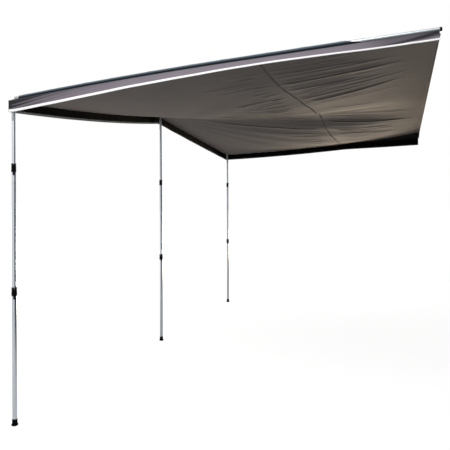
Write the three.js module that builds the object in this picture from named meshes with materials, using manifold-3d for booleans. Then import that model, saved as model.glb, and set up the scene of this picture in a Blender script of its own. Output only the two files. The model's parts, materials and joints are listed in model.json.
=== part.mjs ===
// Caravan sun canopy: a cloth roof whose rear bead slides into an awning rail, two rafters in
// sleeves along its side edges, a bound valance on three sides and three telescopic legs.
// Millimetres, +Z up. X runs along the wall, Y points to the wall, and the origin is the middle
// of the rail bead. "right" is +X as seen from outside, looking at the wall.
import * as THREE from "three";
import { mergeVertices } from "three/addons/utils/BufferGeometryUtils.js";
import Module from "manifold-3d";

const wasm = await Module();
wasm.setup();

// Clearance between neighbouring pieces, and the overrun of every cut.
const gap = 0.3;
const overrun = 2;

// The cloth roof.
const canopyLength = 4000;
const canopyDepth = 2400;
const railHeight = 2110;
const cornerDrop = 152;
const peakRise = 48;
const frontSagRight = 20;
const frontSagLeft = 3;
const roofSag = 90;
const foldHeight = 5;
const clothThick = 1.5;
const beadRadius = 3.75;
const beadEndFree = 60;

// The left rear corner is out of the rail, and hangs down from a crease across the corner.
const droopHeight = 47;
const droopWidth = 330;
const droopDepth = 850;

// The legs stand this far inside the edges, and the cloth is flat around each leg's pin.
const legInset = 20;
const peakFlat = 30;

// Valance and its white binding.
const valanceHeight = 68;
const bindingHeight = 15;
const bindingWall = 0.8;
const valanceWave = 5;

// Rafters, from the wall to the front corners.
const rafterOuterRadius = 11;
const rafterInnerRadius = 9.5;
const rafterWall = 1.2;
const rafterStraight = 950;
const rafterBare = 350;
const rafterLap = 200;
const sleeveWall = 1.2;
const sleeveEndFree = 30;
const padLength = 10;
const padStem = 25;
const wallStandOff = 8;
const camLength = 14;
const camStem = 20;
const camBore = 3;
const eyePlugLength = 40;
const eyeShoulder = 4;
const tongueThick = 4;
const tongueWidth = 18;

// Eyelets and the pins on the legs.
const eyeletBore = 5;
const eyeletBarrel = 1.7;
const eyeletFlange = 11;
const eyeletFlangeThick = 1;
const spigotRadius = 4;
const spigotDepth = 30;
const spigotRise = 13;
const spigotTip = 2;

// Telescopic legs: the lowest tube's radius, and the step down to each tube above it. Bare is
// what shows of the uppermost tube, and a lap is how far a tube reaches down into the next: the
// middle tube's on a corner leg, and the upper tube's on the centre leg, which stands highest.
const lowerTubeRadius = 14;
const tubeWall = 1;
const tubeStep = 1.75;
const stopHeight = 12;
const lowerCollarTop = 834;
const cornerBare = 256;
const centreBare = 484;
const middleLap = 115;
const upperLap = 254;

// Cap on the uppermost tube.
const capLength = 120;
const capStem = 40;
const capTaper = 48;
const capRimRadius = 7;
const capOverTube = 0.6;

// Foot.
const footHeight = 41;
const footWall = 1.3;
const footFloor = 12;
const footRadius = 20;
const footSoleRadius = 13;
const footFlareTop = 20;

// Clamp collars, and the lever and pin on each.
const collarHeight = 52;
const collarNeck = 22;
const collarWall = 1.7;
const slitWidth = 3;
const slitBelowNeck = 6;
const earThick = 3.2;
const earReach = 9;
const earRoot = 2;
const earHeight = 19;
const earTopBelowRim = 1.5;
const leverWidth = 11.4;
const leverHeadRadius = 4.3;
const leverPinRadius = 2;
const pinProud = 0.8;
const leverThick = 3.6;
const leverStandOff = 1;
const leverTipBelow = 18;
const leverTipFlare = 2.4;
const leverTipLength = 12;

// Shares and counts. The right rafter falls gently and bends down in front, and the left one
// falls faster and bends up.
const rightSlopeShare = 0.05;
const leftSlopeShare = 0.078;
const ridgeSagShare = 0.55;
const ridgeWidthShare = 0.18;
const footShapeShares = [
  [0, 0],
  [0.72, 0.1],
  [1, 0.3],
  [1, 0.5],
  [0.35, 0.75],
];
const foldCount = 24;
const valanceWaves = 9;
const roofColumns = 12;
const rearRows = 2;
const straightRows = 4;
const bendRows = 3;
const roundSides = 20;
const rafterSides = 16;
const smallSides = 12;
const bendPieces = 4;

// Angles in degrees.
const leverTurn = 40;
const flareRight = 35;
const flareLeft = 15;

// What follows from the sizes above.
const halfLength = canopyLength / 2;
const halfCloth = clothThick / 2;
const stripWidth = 2 * legInset;
const legY = legInset - canopyDepth;
const legX = halfLength - legInset;
const roofRear = -(beadRadius + gap);
const flatFront = canopyDepth - stripWidth;
const sleeveInner = rafterOuterRadius + gap;
const sleeveOuter = sleeveInner + sleeveWall;
const sleeveLift = halfCloth + gap + sleeveOuter;
const rafterWallLift = halfCloth + gap + rafterInnerRadius;
const middleTubeRadius = lowerTubeRadius - tubeStep;
const upperTubeRadius = middleTubeRadius - tubeStep;
const bindingHalf = halfCloth + gap + bindingWall;
const capSeat = halfCloth + gap + eyeletFlangeThick + gap;
const cornerCollarTop = railHeight - cornerDrop - capSeat - capLength - cornerBare;
const middleTubeLength = cornerCollarTop - lowerCollarTop + middleLap;
const upperTubeLength = centreBare + collarNeck + upperLap;

// Colours, roughness and metalness as in the photograph.
const finish = (color, roughness, metalness = 0) =>
  new THREE.MeshStandardMaterial({ color, roughness, metalness });
const roofCloth = finish(0x57524f, 0.9);
const valanceCloth = finish(0x8d8589, 0.9);
const sleeveCloth = finish(0x1c222b, 0.8);
const whiteTape = finish(0xf2f2f2, 0.75);
const beadVinyl = finish(0x2b2a2a, 0.6);
const aluminium = finish(0xb9c0c4, 0.35, 0.9);
const steel = finish(0xc4c4c2, 0.3, 1);
const blackNylon = finish(0x0b0d11, 0.5);
const greyNylon = finish(0x3a3e41, 0.55);
const rubber = finish(0x08090b, 0.85);

const group = new THREE.Group();
const radians = THREE.MathUtils.degToRad;
const smooth = (value, from, to) => THREE.MathUtils.smoothstep(value, from, to);

function addMesh(parent, name, geometry, material) {
  const mesh = new THREE.Mesh(geometry, material);
  mesh.name = name;
  parent.add(mesh);
}

// A closed geometry as a manifold solid, and a solid as a geometry.
function solid(geometry) {
  const bare = geometry.clone();
  bare.deleteAttribute("normal");
  bare.deleteAttribute("uv");
  const merged = mergeVertices(bare);
  const vertProperties = new Float32Array(merged.attributes.position.array);
  const triVerts = new Uint32Array(merged.index.array);
  return new wasm.Manifold(new wasm.Mesh({ numProp: 3, vertProperties, triVerts }));
}

function geometryOf(made) {
  const mesh = made.getMesh();
  const geometry = new THREE.BufferGeometry();
  geometry.setAttribute("position", new THREE.BufferAttribute(mesh.vertProperties, 3));
  geometry.setIndex(new THREE.BufferAttribute(mesh.triVerts, 1));
  geometry.computeVertexNormals();
  return geometry;
}

// A turned piece about the Z axis. The profile is a list of [radius, height], taken
// counter-clockwise, that starts and ends on the axis or closes on itself.
function turned(profile, sides = roundSides) {
  const points = profile.map(([radius, height]) => new THREE.Vector2(radius, height));
  return new THREE.LatheGeometry(points, sides).rotateX(Math.PI / 2);
}

function ring(inner, outer, bottom, top, sides = roundSides) {
  const profile = [[inner, bottom], [outer, bottom], [outer, top], [inner, top], [inner, bottom]];
  return turned(profile, sides);
}

function rod(radius, bottom, top, sides = roundSides) {
  return turned([[0, bottom], [radius, bottom], [radius, top], [0, top]], sides);
}

// A box between two corners.
function block(x0, x1, y0, y1, z0, z1) {
  const box = new THREE.BoxGeometry(x1 - x0, y1 - y0, z1 - z0);
  return box.translate((x0 + x1) / 2, (y0 + y1) / 2, (z0 + z1) / 2);
}

// A route through points, with one step of a tube to each stretch between them.
class Route extends THREE.Curve {
  constructor(points) {
    super();
    this.points = points;
  }
  getPoint(t) {
    const pieces = this.points.length - 1;
    const i = Math.min(Math.floor(t * pieces), pieces - 1);
    return this.points[i].clone().lerp(this.points[i + 1], t * pieces - i);
  }
  getPointAt(t) {
    return this.getPoint(t);
  }
  getTangentAt(t) {
    return this.getTangent(t);
  }
}

// A rod along a route, and a hollow tube. An arc is drawn with two sides to each curve segment.
function bar(points, section, sides) {
  return new THREE.ExtrudeGeometry(section, {
    steps: points.length - 1,
    extrudePath: new Route(points),
    curveSegments: sides / 2,
    bevelEnabled: false,
  });
}

function pipe(points, inner, outer) {
  const section = new THREE.Shape().absarc(0, 0, outer, 0, 2 * Math.PI);
  section.holes.push(new THREE.Path().absarc(0, 0, inner, 0, 2 * Math.PI, true));
  return bar(points, section, rafterSides);
}

// A closed skin from points and faces, with its faces turned out.
function skin(positions, index) {
  const [a, b, c] = [new THREE.Vector3(), new THREE.Vector3(), new THREE.Vector3()];
  let volume = 0;
  for (let i = 0; i < index.length; i += 3) {
    a.fromArray(positions, 3 * index[i]);
    b.fromArray(positions, 3 * index[i + 1]);
    c.fromArray(positions, 3 * index[i + 2]);
    volume += a.dot(b.cross(c));
  }
  const geometry = new THREE.BufferGeometry();
  geometry.setAttribute("position", new THREE.Float32BufferAttribute(positions, 3));
  geometry.setIndex(volume < 0 ? [...index].reverse() : index);
  geometry.computeVertexNormals();
  return geometry;
}

// A closed skin over rings of points: each ring is a loop round the piece with the points of
// its section, which runs counter-clockwise, and the first and last rings are closed. The faces
// between two rings are split along the same diagonals as the sheet that the piece holds.
function loft(rings, section) {
  const count = section.length;
  const positions = rings.flat().flatMap((point) => point.toArray());
  const index = [];
  for (let i = 0; i + 1 < rings.length; i++)
    for (let j = 0; j < count; j++) {
      const next = (j + 1) % count;
      const a = i * count + j;
      const b = i * count + next;
      if (section[j].y < section[next].y) index.push(a, b, b + count, a, b + count, a + count);
      else index.push(a, b, a + count, b, b + count, a + count);
    }
  const last = (rings.length - 1) * count;
  for (const [a, b, c] of THREE.ShapeUtils.triangulateShape(section, [])) {
    index.push(c, b, a);
    index.push(last + a, last + b, last + c);
  }
  return skin(positions, index);
}

// A sheet of cloth: a grid of points on its middle surface, and the half thickness to add on
// both sides of it along the normal that goes with each point. Both faces are split along the
// same diagonals, so they stay apart where the sheet is twisted.
function sheet(columns, rows, middle, normal) {
  const positions = [];
  const at = (i, j, side) => 2 * (i * (rows + 1) + j) + side;
  for (let i = 0; i <= columns; i++)
    for (let j = 0; j <= rows; j++) {
      const point = middle(i, j);
      const offset = normal(i, j).multiplyScalar(halfCloth);
      positions.push(...point.clone().add(offset).toArray());
      positions.push(...point.clone().sub(offset).toArray());
    }
  const index = [];
  const quad = (a, b, c, d) => index.push(a, b, c, a, c, d);
  for (let i = 0; i < columns; i++)
    for (let j = 0; j < rows; j++) {
      quad(at(i, j, 0), at(i + 1, j, 0), at(i + 1, j + 1, 0), at(i, j + 1, 0));
      quad(at(i, j, 1), at(i, j + 1, 1), at(i + 1, j + 1, 1), at(i + 1, j, 1));
    }
  for (let i = 0; i < columns; i++) {
    quad(at(i + 1, 0, 0), at(i, 0, 0), at(i, 0, 1), at(i + 1, 0, 1));
    quad(at(i, rows, 0), at(i + 1, rows, 0), at(i + 1, rows, 1), at(i, rows, 1));
  }
  for (let j = 0; j < rows; j++) {
    quad(at(0, j, 0), at(0, j + 1, 0), at(0, j + 1, 1), at(0, j, 1));
    quad(at(columns, j + 1, 0), at(columns, j, 0), at(columns, j, 1), at(columns, j + 1, 1));
  }
  return skin(positions, index);
}

// Height of a rafter's axis at a distance from the wall: straight behind, and bent in front in
// a few straight pieces, so that both rafters end at the height of their corners. Side is
// negative on the left, so a place's x can be given for it.
const slopeShare = (side) => (side < 0 ? leftSlopeShare : rightSlopeShare);
const bendStart = (i) => THREE.MathUtils.lerp(rafterStraight, flatFront, i / bendPieces);

function rafterHeight(side, distance) {
  const piece = (bendPieces * (distance - rafterStraight)) / (flatFront - rafterStraight);
  const i = THREE.MathUtils.clamp(Math.floor(piece), 0, bendPieces - 1);
  const bent = THREE.MathUtils.lerp(i ** 2, (i + 1) ** 2, Math.max(piece, 0) - i) / bendPieces ** 2;
  const bend = rafterWallLift - slopeShare(side) * flatFront + cornerDrop - sleeveLift;
  return rafterWallLift - slopeShare(side) * distance - bend * bent;
}

// Height of the roof's middle surface along its side edges.
function sideHeight(side, distance) {
  const covered = Math.min(distance, flatFront);
  if (covered >= rafterBare) return rafterHeight(side, covered) - sleeveLift;
  return ((rafterHeight(side, rafterBare) - sleeveLift) * covered) / rafterBare;
}

// Height of the front edge: a shallow tent between the corners and the centre leg.
function frontHeight(side, across) {
  const sag = side < 0 ? frontSagLeft : frontSagRight;
  return THREE.MathUtils.lerp(peakRise, -cornerDrop, across) - sag * 4 * across * (1 - across);
}

// How far the left rear corner hangs down.
function droop(x, y) {
  const share = 1 - (halfLength + x) / droopWidth - (roofRear - y) / droopDepth;
  return droopHeight * Math.max(0, share);
}

// Height of the roof's middle surface: edges, the ridge from the centre leg, the sag on both
// sides of it, and folds that fan out from the centre leg's pin.
function roofHeight(x, y) {
  const span = halfLength - stripWidth - peakFlat;
  const across = THREE.MathUtils.clamp((Math.abs(x) - peakFlat) / span, 0, 1);
  const down = THREE.MathUtils.clamp((roofRear - y) / (flatFront + roofRear), 0, 1);
  const edge = sideHeight(x, -y) + cornerDrop * down;
  const flat = down * frontHeight(x, across) + edge * across ** 2;
  const hollow = 4 * down * (1 - down) * (1 - across ** 4);
  const ridge = 1 - (1 - ridgeSagShare) * Math.exp(-((across / ridgeWidthShare) ** 2));
  const fan = Math.cos(foldCount * Math.atan2(x, canopyDepth + y));
  return flat - hollow * (roofSag * ridge + foldHeight * fan) - droop(x, y);
}

// The lines of the roof's grid, from the right edge to the left and from the rail to the front.
function roofLinesX() {
  const half = [halfLength];
  for (let i = 0; i <= roofColumns; i++)
    half.push(THREE.MathUtils.lerp(halfLength - stripWidth, peakFlat, i / roofColumns));
  return [...half, ...half.map((x) => -x).reverse()];
}

// Every bend of the rafters is on one of the lines.
function roofLinesY() {
  const lines = [];
  const fill = (from, to, rows) => {
    for (let j = 0; j < rows; j++) lines.push(THREE.MathUtils.lerp(from, to, j / rows));
  };
  fill(roofRear, -rafterBare, rearRows);
  fill(-rafterBare, -rafterStraight, straightRows);
  fill(-rafterStraight, -flatFront, bendRows * bendPieces);
  return [...lines, -flatFront, -canopyDepth];
}

// Each line and the middle of each space between two lines.
function halved(lines) {
  return lines.flatMap((value, i) => (i ? [(lines[i - 1] + value) / 2, value] : [value]));
}

const linesX = roofLinesX();
const linesY = roofLinesY();

function makeRoof() {
  const up = () => new THREE.Vector3(0, 0, 1);
  const middle = (i, j) => new THREE.Vector3(linesX[i], linesY[j], roofHeight(linesX[i], linesY[j]));
  const cloth = sheet(linesX.length - 1, linesY.length - 1, middle, up);
  let made = solid(cloth);
  for (const x of [-legX, 0, legX]) {
    const height = roofHeight(x, legY);
    const bottom = height - overrun;
    const hole = rod(eyeletBore + eyeletBarrel + gap, bottom, height + overrun);
    made = made.subtract(solid(hole.translate(x, legY, 0)));
  }
  addMesh(group, "roof_sheet", geometryOf(made), roofCloth);
}

// The bead that slides into the awning rail. It stops short of the rafters on both sides, and
// its left end hangs down with the cloth.
function makeBead() {
  const end = halfLength - beadEndFree;
  const route = [end, droopWidth - halfLength, -end].map(
    (x) => new THREE.Vector3(x, 0, -droop(x, roofRear)),
  );
  const section = new THREE.Shape().absarc(0, 0, beadRadius, 0, 2 * Math.PI);
  addMesh(group, "rail_bead", bar(route, section, smallSides), beadVinyl);
}

// A valance and its binding. Each place along the top edge gives its point, the way out from
// the canopy and how far the cloth there swings out.
function makeValance(name, places) {
  const down = valanceHeight - bindingWall - gap;
  const hem = valanceHeight - bindingHeight;
  const rows = [0, hem, down];
  const point = (place, drop) => {
    const { top, out, angle, wave } = place;
    const shift = drop * Math.sin(angle) + wave * Math.min(drop / hem, 1);
    const fall = drop * Math.cos(angle) + halfCloth * Math.sin(angle);
    return top.clone().addScaledVector(out, shift).add(new THREE.Vector3(0, 0, -fall));
  };
  const normalOf = ({ out, angle }) =>
    out.clone().multiplyScalar(Math.cos(angle)).add(new THREE.Vector3(0, 0, Math.sin(angle)));
  const panel = sheet(
    places.length - 1,
    rows.length - 1,
    (i, j) => point(places[i], rows[j]),
    (i) => normalOf(places[i]),
  );
  addMesh(group, name + "_valance", panel, valanceCloth);
  const slot = halfCloth + gap;
  const section = [
    [-bindingHalf, hem],
    [-slot, hem],
    [-slot, down + gap],
    [slot, down + gap],
    [slot, hem],
    [bindingHalf, hem],
    [bindingHalf, valanceHeight],
    [-bindingHalf, valanceHeight],
  ].map(([side, drop]) => new THREE.Vector2(side, drop));
  const rings = places.map((place) =>
    section.map(({ x, y }) => point(place, y).addScaledVector(normalOf(place), x)),
  );
  addMesh(group, name + "_binding", loft(rings, section), whiteTape);
}

function makeFrontValance() {
  const y = halfCloth - canopyDepth;
  const places = halved(linesX).map((x) => {
    const calm = 1 - (x / halfLength) ** 2;
    return {
      top: new THREE.Vector3(x, y, roofHeight(x, -canopyDepth) - halfCloth - gap),
      out: new THREE.Vector3(0, -1, 0),
      angle: 0,
      wave: valanceWave * calm * Math.sin((valanceWaves * Math.PI * x) / halfLength),
    };
  });
  makeValance("front", places);
}

// The side valances hang plumb at the front and swing out towards the wall.
function makeSideValance(name, side, flare) {
  const start = canopyDepth - clothThick - bindingWall - gap - gap;
  const reach = [...linesY.slice(0, -1), -start];
  const x = side * (halfLength - halfCloth);
  const places = reach.map((y) => {
    const swing = smooth(y, -start, -rafterBare);
    return {
      top: new THREE.Vector3(x, y, roofHeight(side * halfLength, y) - halfCloth - gap),
      out: new THREE.Vector3(side, 0, 0),
      angle: radians(flare) * swing,
      wave: 0,
    };
  });
  makeValance(name, places);
}

// One rafter: an outer tube in its sleeve, the eye that sits on the corner leg's pin, and the
// inner tube that slides out to the wall with its cam plug and wall pad.
function makeRafter(name, side, sleeveRear) {
  const x = side * legX;
  const at = (distance) => new THREE.Vector3(x, -distance, rafterHeight(side, distance));
  const route = (from, to) => {
    const bends = [];
    for (let i = 0; i < bendPieces; i++) bends.push(bendStart(i));
    return [from, ...bends, to].map(at);
  };
  const bore = rafterOuterRadius - rafterWall;
  const outerTube = pipe(route(rafterBare - sleeveEndFree, flatFront), bore, rafterOuterRadius);
  addMesh(group, name + "_rafter_outer_tube", outerTube, aluminium);
  const sleeve = pipe(route(sleeveRear, flatFront - sleeveEndFree), sleeveInner, sleeveOuter);
  addMesh(group, name + "_rafter_sleeve", sleeve, sleeveCloth);

  const padSeat = padLength - wallStandOff;
  const innerRoute = [rafterBare + rafterLap, padSeat].map(at);
  const innerTube = pipe(innerRoute, rafterInnerRadius - rafterWall, rafterInnerRadius);
  addMesh(group, name + "_rafter_inner_tube", innerTube, aluminium);

  // Turned pieces on the rafter's axis: local Z runs up the rafter towards the wall.
  const onAxis = (distance) => {
    const place = new THREE.Group();
    place.position.copy(at(distance));
    place.rotation.x = Math.atan(slopeShare(side)) - Math.PI / 2;
    group.add(place);
    return place;
  };
  const stemRadius = rafterInnerRadius - rafterWall - gap;
  const pad = turned([
    [0, -padStem],
    [stemRadius, -padStem],
    [stemRadius, gap],
    [rafterInnerRadius, gap],
    [rafterInnerRadius, padLength],
    [0, padLength],
  ]);
  addMesh(onAxis(padSeat), name + "_wall_pad", pad, rubber);
  const cam = turned([
    [camBore, -camLength],
    [rafterInnerRadius, -camLength],
    [rafterInnerRadius, -gap],
    [stemRadius, -gap],
    [stemRadius, camStem],
    [camBore, camStem],
    [camBore, -camLength],
  ]);
  addMesh(onAxis(rafterBare + rafterLap), name + "_rafter_cam_plug", cam, blackNylon);

  // The eye: a plug in the tube's front end with a flat tongue that lies over the eyelet.
  const end = at(flatFront);
  const rise = at(bendStart(bendPieces - 1)).sub(end);
  const plug = turned([
    [0, -eyeShoulder],
    [rafterOuterRadius, -eyeShoulder],
    [rafterOuterRadius, -gap],
    [bore - gap, -gap],
    [bore - gap, eyePlugLength],
    [0, eyePlugLength],
  ]);
  plug.rotateX(Math.atan2(rise.z, rise.y) - Math.PI / 2).translate(end.x, end.y, end.z);
  const seat = roofHeight(x, legY) + halfCloth + eyeletFlangeThick + gap + gap;
  const half = tongueWidth / 2;
  const plate = new THREE.Shape();
  plate.moveTo(x - half, end.y);
  plate.lineTo(x - half, legY);
  plate.absarc(x, legY, half, Math.PI, 2 * Math.PI);
  plate.lineTo(x + half, end.y);
  plate.holes.push(new THREE.Path().absarc(x, legY, spigotRadius + gap, 0, 2 * Math.PI, true));
  const tongue = new THREE.ExtrudeGeometry(plate, {
    depth: tongueThick,
    curveSegments: smallSides / 2,
    bevelEnabled: false,
  });
  const eye = solid(plug).add(solid(tongue.translate(0, 0, seat)));
  addMesh(group, name + "_rafter_eye", geometryOf(eye), greyNylon);
}

// The eyelet in the roof over a leg: a barrel with a flange on each face of the cloth.
function makeEyelet(name, x) {
  const barrel = eyeletBore + eyeletBarrel;
  const seat = halfCloth + gap;
  const rim = seat + eyeletFlangeThick;
  const eyelet = turned([
    [eyeletBore, -rim],
    [eyeletFlange, -rim],
    [eyeletFlange, -seat],
    [barrel, -seat],
    [barrel, seat],
    [eyeletFlange, seat],
    [eyeletFlange, rim],
    [eyeletBore, rim],
    [eyeletBore, -rim],
  ], smallSides);
  addMesh(group, name + "_eyelet", eyelet.translate(x, legY, roofHeight(x, legY)), steel);
}

// A tube of a leg with a thicker stop at its lower end, which the collar above can't pass.
function legTube(radius, bottom, top, stopRadius) {
  const bore = radius - tubeWall;
  return turned([
    [bore, bottom],
    [stopRadius, bottom],
    [stopRadius, bottom + stopHeight],
    [radius, bottom + stopHeight],
    [radius, top],
    [bore, top],
    [bore, bottom],
  ]);
}

function makeFoot() {
  const bore = lowerTubeRadius + gap;
  const neck = bore + footWall;
  const flare = footShapeShares.map(([out, up]) => [
    footSoleRadius + (footRadius - footSoleRadius) * out,
    footFlareTop * up,
  ]);
  return turned([
    [0, 0],
    ...flare,
    [neck, footFlareTop],
    [neck, footHeight],
    [bore, footHeight],
    [bore, footFloor],
    [0, footFloor],
  ]);
}

// A collar stands on the outer tube's end and grips the tube that slides in it. Its ears carry
// the lever's pin. Local Z starts at the collar's lower rim, and the ears point along +X.
function collarSizes(outerTube, innerTube) {
  const outside = outerTube + gap + collarWall;
  return {
    outside,
    outerBore: outerTube + gap,
    innerBore: innerTube + gap,
    shoulder: collarHeight - collarNeck,
    pinX: outside + gap + leverHeadRadius,
    pinZ: collarHeight - earTopBelowRim - earHeight / 2,
    earY: leverWidth / 2 + gap,
  };
}

function makeCollar(size) {
  const { outside, outerBore, innerBore, shoulder, pinX, pinZ, earY } = size;
  const bush = turned([
    [outerBore, 0],
    [outside, 0],
    [outside, collarHeight],
    [innerBore, collarHeight],
    [innerBore, shoulder],
    [outerBore, shoulder],
    [outerBore, 0],
  ]);
  let made = solid(bush);
  const earTop = collarHeight - earTopBelowRim;
  const [earIn, earOut] = [outside - earRoot, outside + earReach];
  for (const low of [-earY - earThick, earY]) {
    const ear = block(earIn, earOut, low, low + earThick, earTop - earHeight, earTop);
    made = made.add(solid(ear));
  }
  const slitBottom = shoulder - slitBelowNeck;
  const slitTop = collarHeight + overrun;
  const slit = block(0, outside + overrun, -slitWidth / 2, slitWidth / 2, slitBottom, slitTop);
  const reach = earY + earThick + overrun;
  const hole = rod(leverPinRadius + gap, -reach, reach, smallSides).rotateX(Math.PI / 2);
  const bore = rod(innerBore, -overrun, slitTop);
  for (const cut of [slit, hole.translate(pinX, 0, pinZ), bore]) made = made.subtract(solid(cut));
  return made;
}

// The lever hangs from its pin along the collar, and its tip bends out below the collar. Its
// outline runs clockwise, so the hole for the pin runs the other way.
function makeLever({ outside, pinX, pinZ }) {
  const inner = outside + leverStandOff;
  const outer = inner + leverThick;
  const bottom = -leverTipBelow;
  const outline = new THREE.Shape();
  outline.moveTo(inner, pinZ);
  outline.absarc(pinX, pinZ, leverHeadRadius, Math.PI, 0, true);
  outline.lineTo(pinX + leverHeadRadius, pinZ - leverHeadRadius);
  outline.lineTo(outer, pinZ - 2 * leverHeadRadius);
  outline.lineTo(outer, bottom + leverTipLength);
  outline.lineTo(outer + leverTipFlare, bottom);
  outline.lineTo(inner + leverTipFlare, bottom);
  outline.lineTo(inner, bottom + leverTipLength);
  outline.holes.push(new THREE.Path().absarc(pinX, pinZ, leverPinRadius + gap, 0, 2 * Math.PI));
  const lever = new THREE.ExtrudeGeometry(outline, {
    depth: leverWidth,
    curveSegments: smallSides / 2,
    bevelEnabled: false,
  });
  return lever.rotateX(Math.PI / 2).translate(0, leverWidth / 2, 0);
}

function makeLeverPin({ pinX, pinZ, earY }) {
  const half = earY + earThick + pinProud;
  return rod(leverPinRadius, -half, half, smallSides).rotateX(Math.PI / 2).translate(pinX, 0, pinZ);
}

// One telescopic leg. Heights in its group are measured from the ground.
function makeLeg(name, x, bare) {
  const leg = new THREE.Group();
  leg.position.set(x, legY, -railHeight);
  leg.rotation.z = radians(leverTurn);
  group.add(leg);

  const lowerTop = lowerCollarTop - collarNeck - gap;
  const lowerTube = ring(lowerTubeRadius - tubeWall, lowerTubeRadius, footFloor + gap, lowerTop);
  addMesh(leg, name + "_foot", makeFoot(), rubber);
  addMesh(leg, name + "_lower_tube", lowerTube, aluminium);

  const roof = railHeight + roofHeight(x, legY);
  const capTop = roof - capSeat;
  const capBottom = capTop - capLength;
  const upperCollarTop = capBottom - bare;
  const middleTop = upperCollarTop - collarNeck - gap;
  const middleStop = lowerTubeRadius - tubeWall - gap;
  const middleTube = legTube(middleTubeRadius, middleTop - middleTubeLength, middleTop, middleStop);
  addMesh(leg, name + "_middle_tube", middleTube, aluminium);

  const upperTop = capBottom - gap;
  const upperStop = middleTubeRadius - tubeWall - gap;
  const upperTube = legTube(upperTubeRadius, upperTop - upperTubeLength, upperTop, upperStop);
  addMesh(leg, name + "_upper_tube", upperTube, aluminium);

  const capRadius = upperTubeRadius + capOverTube;
  const stem = upperTubeRadius - tubeWall - gap;
  const cap = turned([
    [0, capBottom - capStem],
    [stem, capBottom - capStem],
    [stem, capBottom],
    [capRadius, capBottom],
    [capRadius, capTop - capTaper],
    [capRimRadius, capTop],
    [spigotRadius + gap, capTop],
    [spigotRadius + gap, capTop - spigotDepth],
    [0, capTop - spigotDepth],
  ]);
  addMesh(leg, name + "_top_cap", cap, greyNylon);
  const spigotTop = roof + spigotRise;
  const spigot = turned([
    [0, capTop - spigotDepth + gap],
    [spigotRadius, capTop - spigotDepth + gap],
    [spigotRadius, spigotTop - spigotTip],
    [spigotRadius - spigotTip, spigotTop],
    [0, spigotTop],
  ]);
  addMesh(leg, name + "_spigot", spigot, steel);

  const clamps = [
    ["lower", lowerTubeRadius, middleTubeRadius, lowerCollarTop],
    ["upper", middleTubeRadius, upperTubeRadius, upperCollarTop],
  ];
  for (const [level, outerTube, innerTube, top] of clamps) {
    const size = collarSizes(outerTube, innerTube);
    const clamp = new THREE.Group();
    clamp.position.z = top - collarHeight;
    leg.add(clamp);
    addMesh(clamp, `${name}_${level}_collar`, geometryOf(makeCollar(size)), blackNylon);
    addMesh(clamp, `${name}_${level}_lever`, makeLever(size), blackNylon);
    addMesh(clamp, `${name}_${level}_lever_pin`, makeLeverPin(size), steel);
  }
}

makeRoof();
makeBead();
makeFrontValance();
makeSideValance("right", 1, flareRight);
makeSideValance("left", -1, flareLeft);
makeRafter("right", 1, rafterBare);
makeRafter("left", -1, droopDepth);
makeEyelet("right", legX);
makeEyelet("centre", 0);
makeEyelet("left", -legX);
makeLeg("right", legX, cornerBare);
makeLeg("centre", 0, centreBare);
makeLeg("left", -legX, cornerBare);

export default group;
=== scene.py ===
# %% [markdown]
# # A caravan sun canopy
#
# The frame that this lesson starts from holds the canopy as it was designed: a cloth roof whose
# rear bead slides into an awning rail, two telescopic rafters in sleeves along its side edges,
# a bound valance on three sides, and three telescopic legs. Its pieces have the right size and
# place, but its cloth is plain and stiff. Here each piece gets the form and the finish that a
# maker would give it, and the frame stays where it is.
#
# The frame could be drawn as it stands. The cloth would then have no wrinkles and the tubes
# would show their flat sides, so nearly every piece is made again on the frame's own places.

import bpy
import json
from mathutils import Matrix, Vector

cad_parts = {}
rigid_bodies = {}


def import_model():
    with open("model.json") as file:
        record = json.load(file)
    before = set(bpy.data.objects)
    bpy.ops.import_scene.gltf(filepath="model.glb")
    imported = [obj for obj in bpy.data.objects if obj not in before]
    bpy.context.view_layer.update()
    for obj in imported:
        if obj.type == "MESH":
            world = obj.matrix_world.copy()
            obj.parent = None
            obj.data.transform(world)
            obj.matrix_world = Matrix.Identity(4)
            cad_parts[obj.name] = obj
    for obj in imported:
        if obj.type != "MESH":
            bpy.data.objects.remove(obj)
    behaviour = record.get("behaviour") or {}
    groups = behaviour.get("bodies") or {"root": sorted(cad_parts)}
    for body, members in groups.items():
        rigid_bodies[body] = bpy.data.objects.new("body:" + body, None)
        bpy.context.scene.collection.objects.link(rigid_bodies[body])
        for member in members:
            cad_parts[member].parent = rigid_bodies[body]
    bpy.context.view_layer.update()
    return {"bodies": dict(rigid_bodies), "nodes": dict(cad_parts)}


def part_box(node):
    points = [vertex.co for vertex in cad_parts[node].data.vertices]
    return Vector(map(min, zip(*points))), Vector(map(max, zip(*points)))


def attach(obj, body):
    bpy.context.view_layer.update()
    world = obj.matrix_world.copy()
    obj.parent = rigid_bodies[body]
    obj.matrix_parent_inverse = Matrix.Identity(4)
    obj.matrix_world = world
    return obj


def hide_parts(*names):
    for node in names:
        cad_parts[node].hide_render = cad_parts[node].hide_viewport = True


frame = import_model()

# %% [markdown]
# ## Working with the frame
#
# Every node of the frame rides on a body, such as a leg's upper part, and has a slot for its
# finish. A piece that takes a node's place has to ride on the same body. One helper puts every
# piece there, so that none is forgotten.

# %% Bodies of the frame's nodes
import json
import math

import bpy
import numpy as np
from mathutils import Matrix

body_of = {
    node: body
    for body, empty in frame["bodies"].items()
    for node, obj in frame["nodes"].items()
    if obj.parent == empty
}


def trim(piece, node):
    """Lets a piece go with a node, on its body."""
    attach(piece, body_of[node])
    return piece


def dress(piece, node):
    """Puts a piece in the place of a node of the frame."""
    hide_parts(node)
    return trim(piece, node)


# %% [markdown]
# ## Making a mesh from numbers
#
# Cloth, tubes and turned parts all come down to lists of points and faces. One function turns
# such lists into an object at the origin. It measures the volume that the faces enclose, and
# turns them round where it is negative, so that they point outwards. Edges sharper than an
# angle stay crisp and the rest is shaded smooth.

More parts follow.
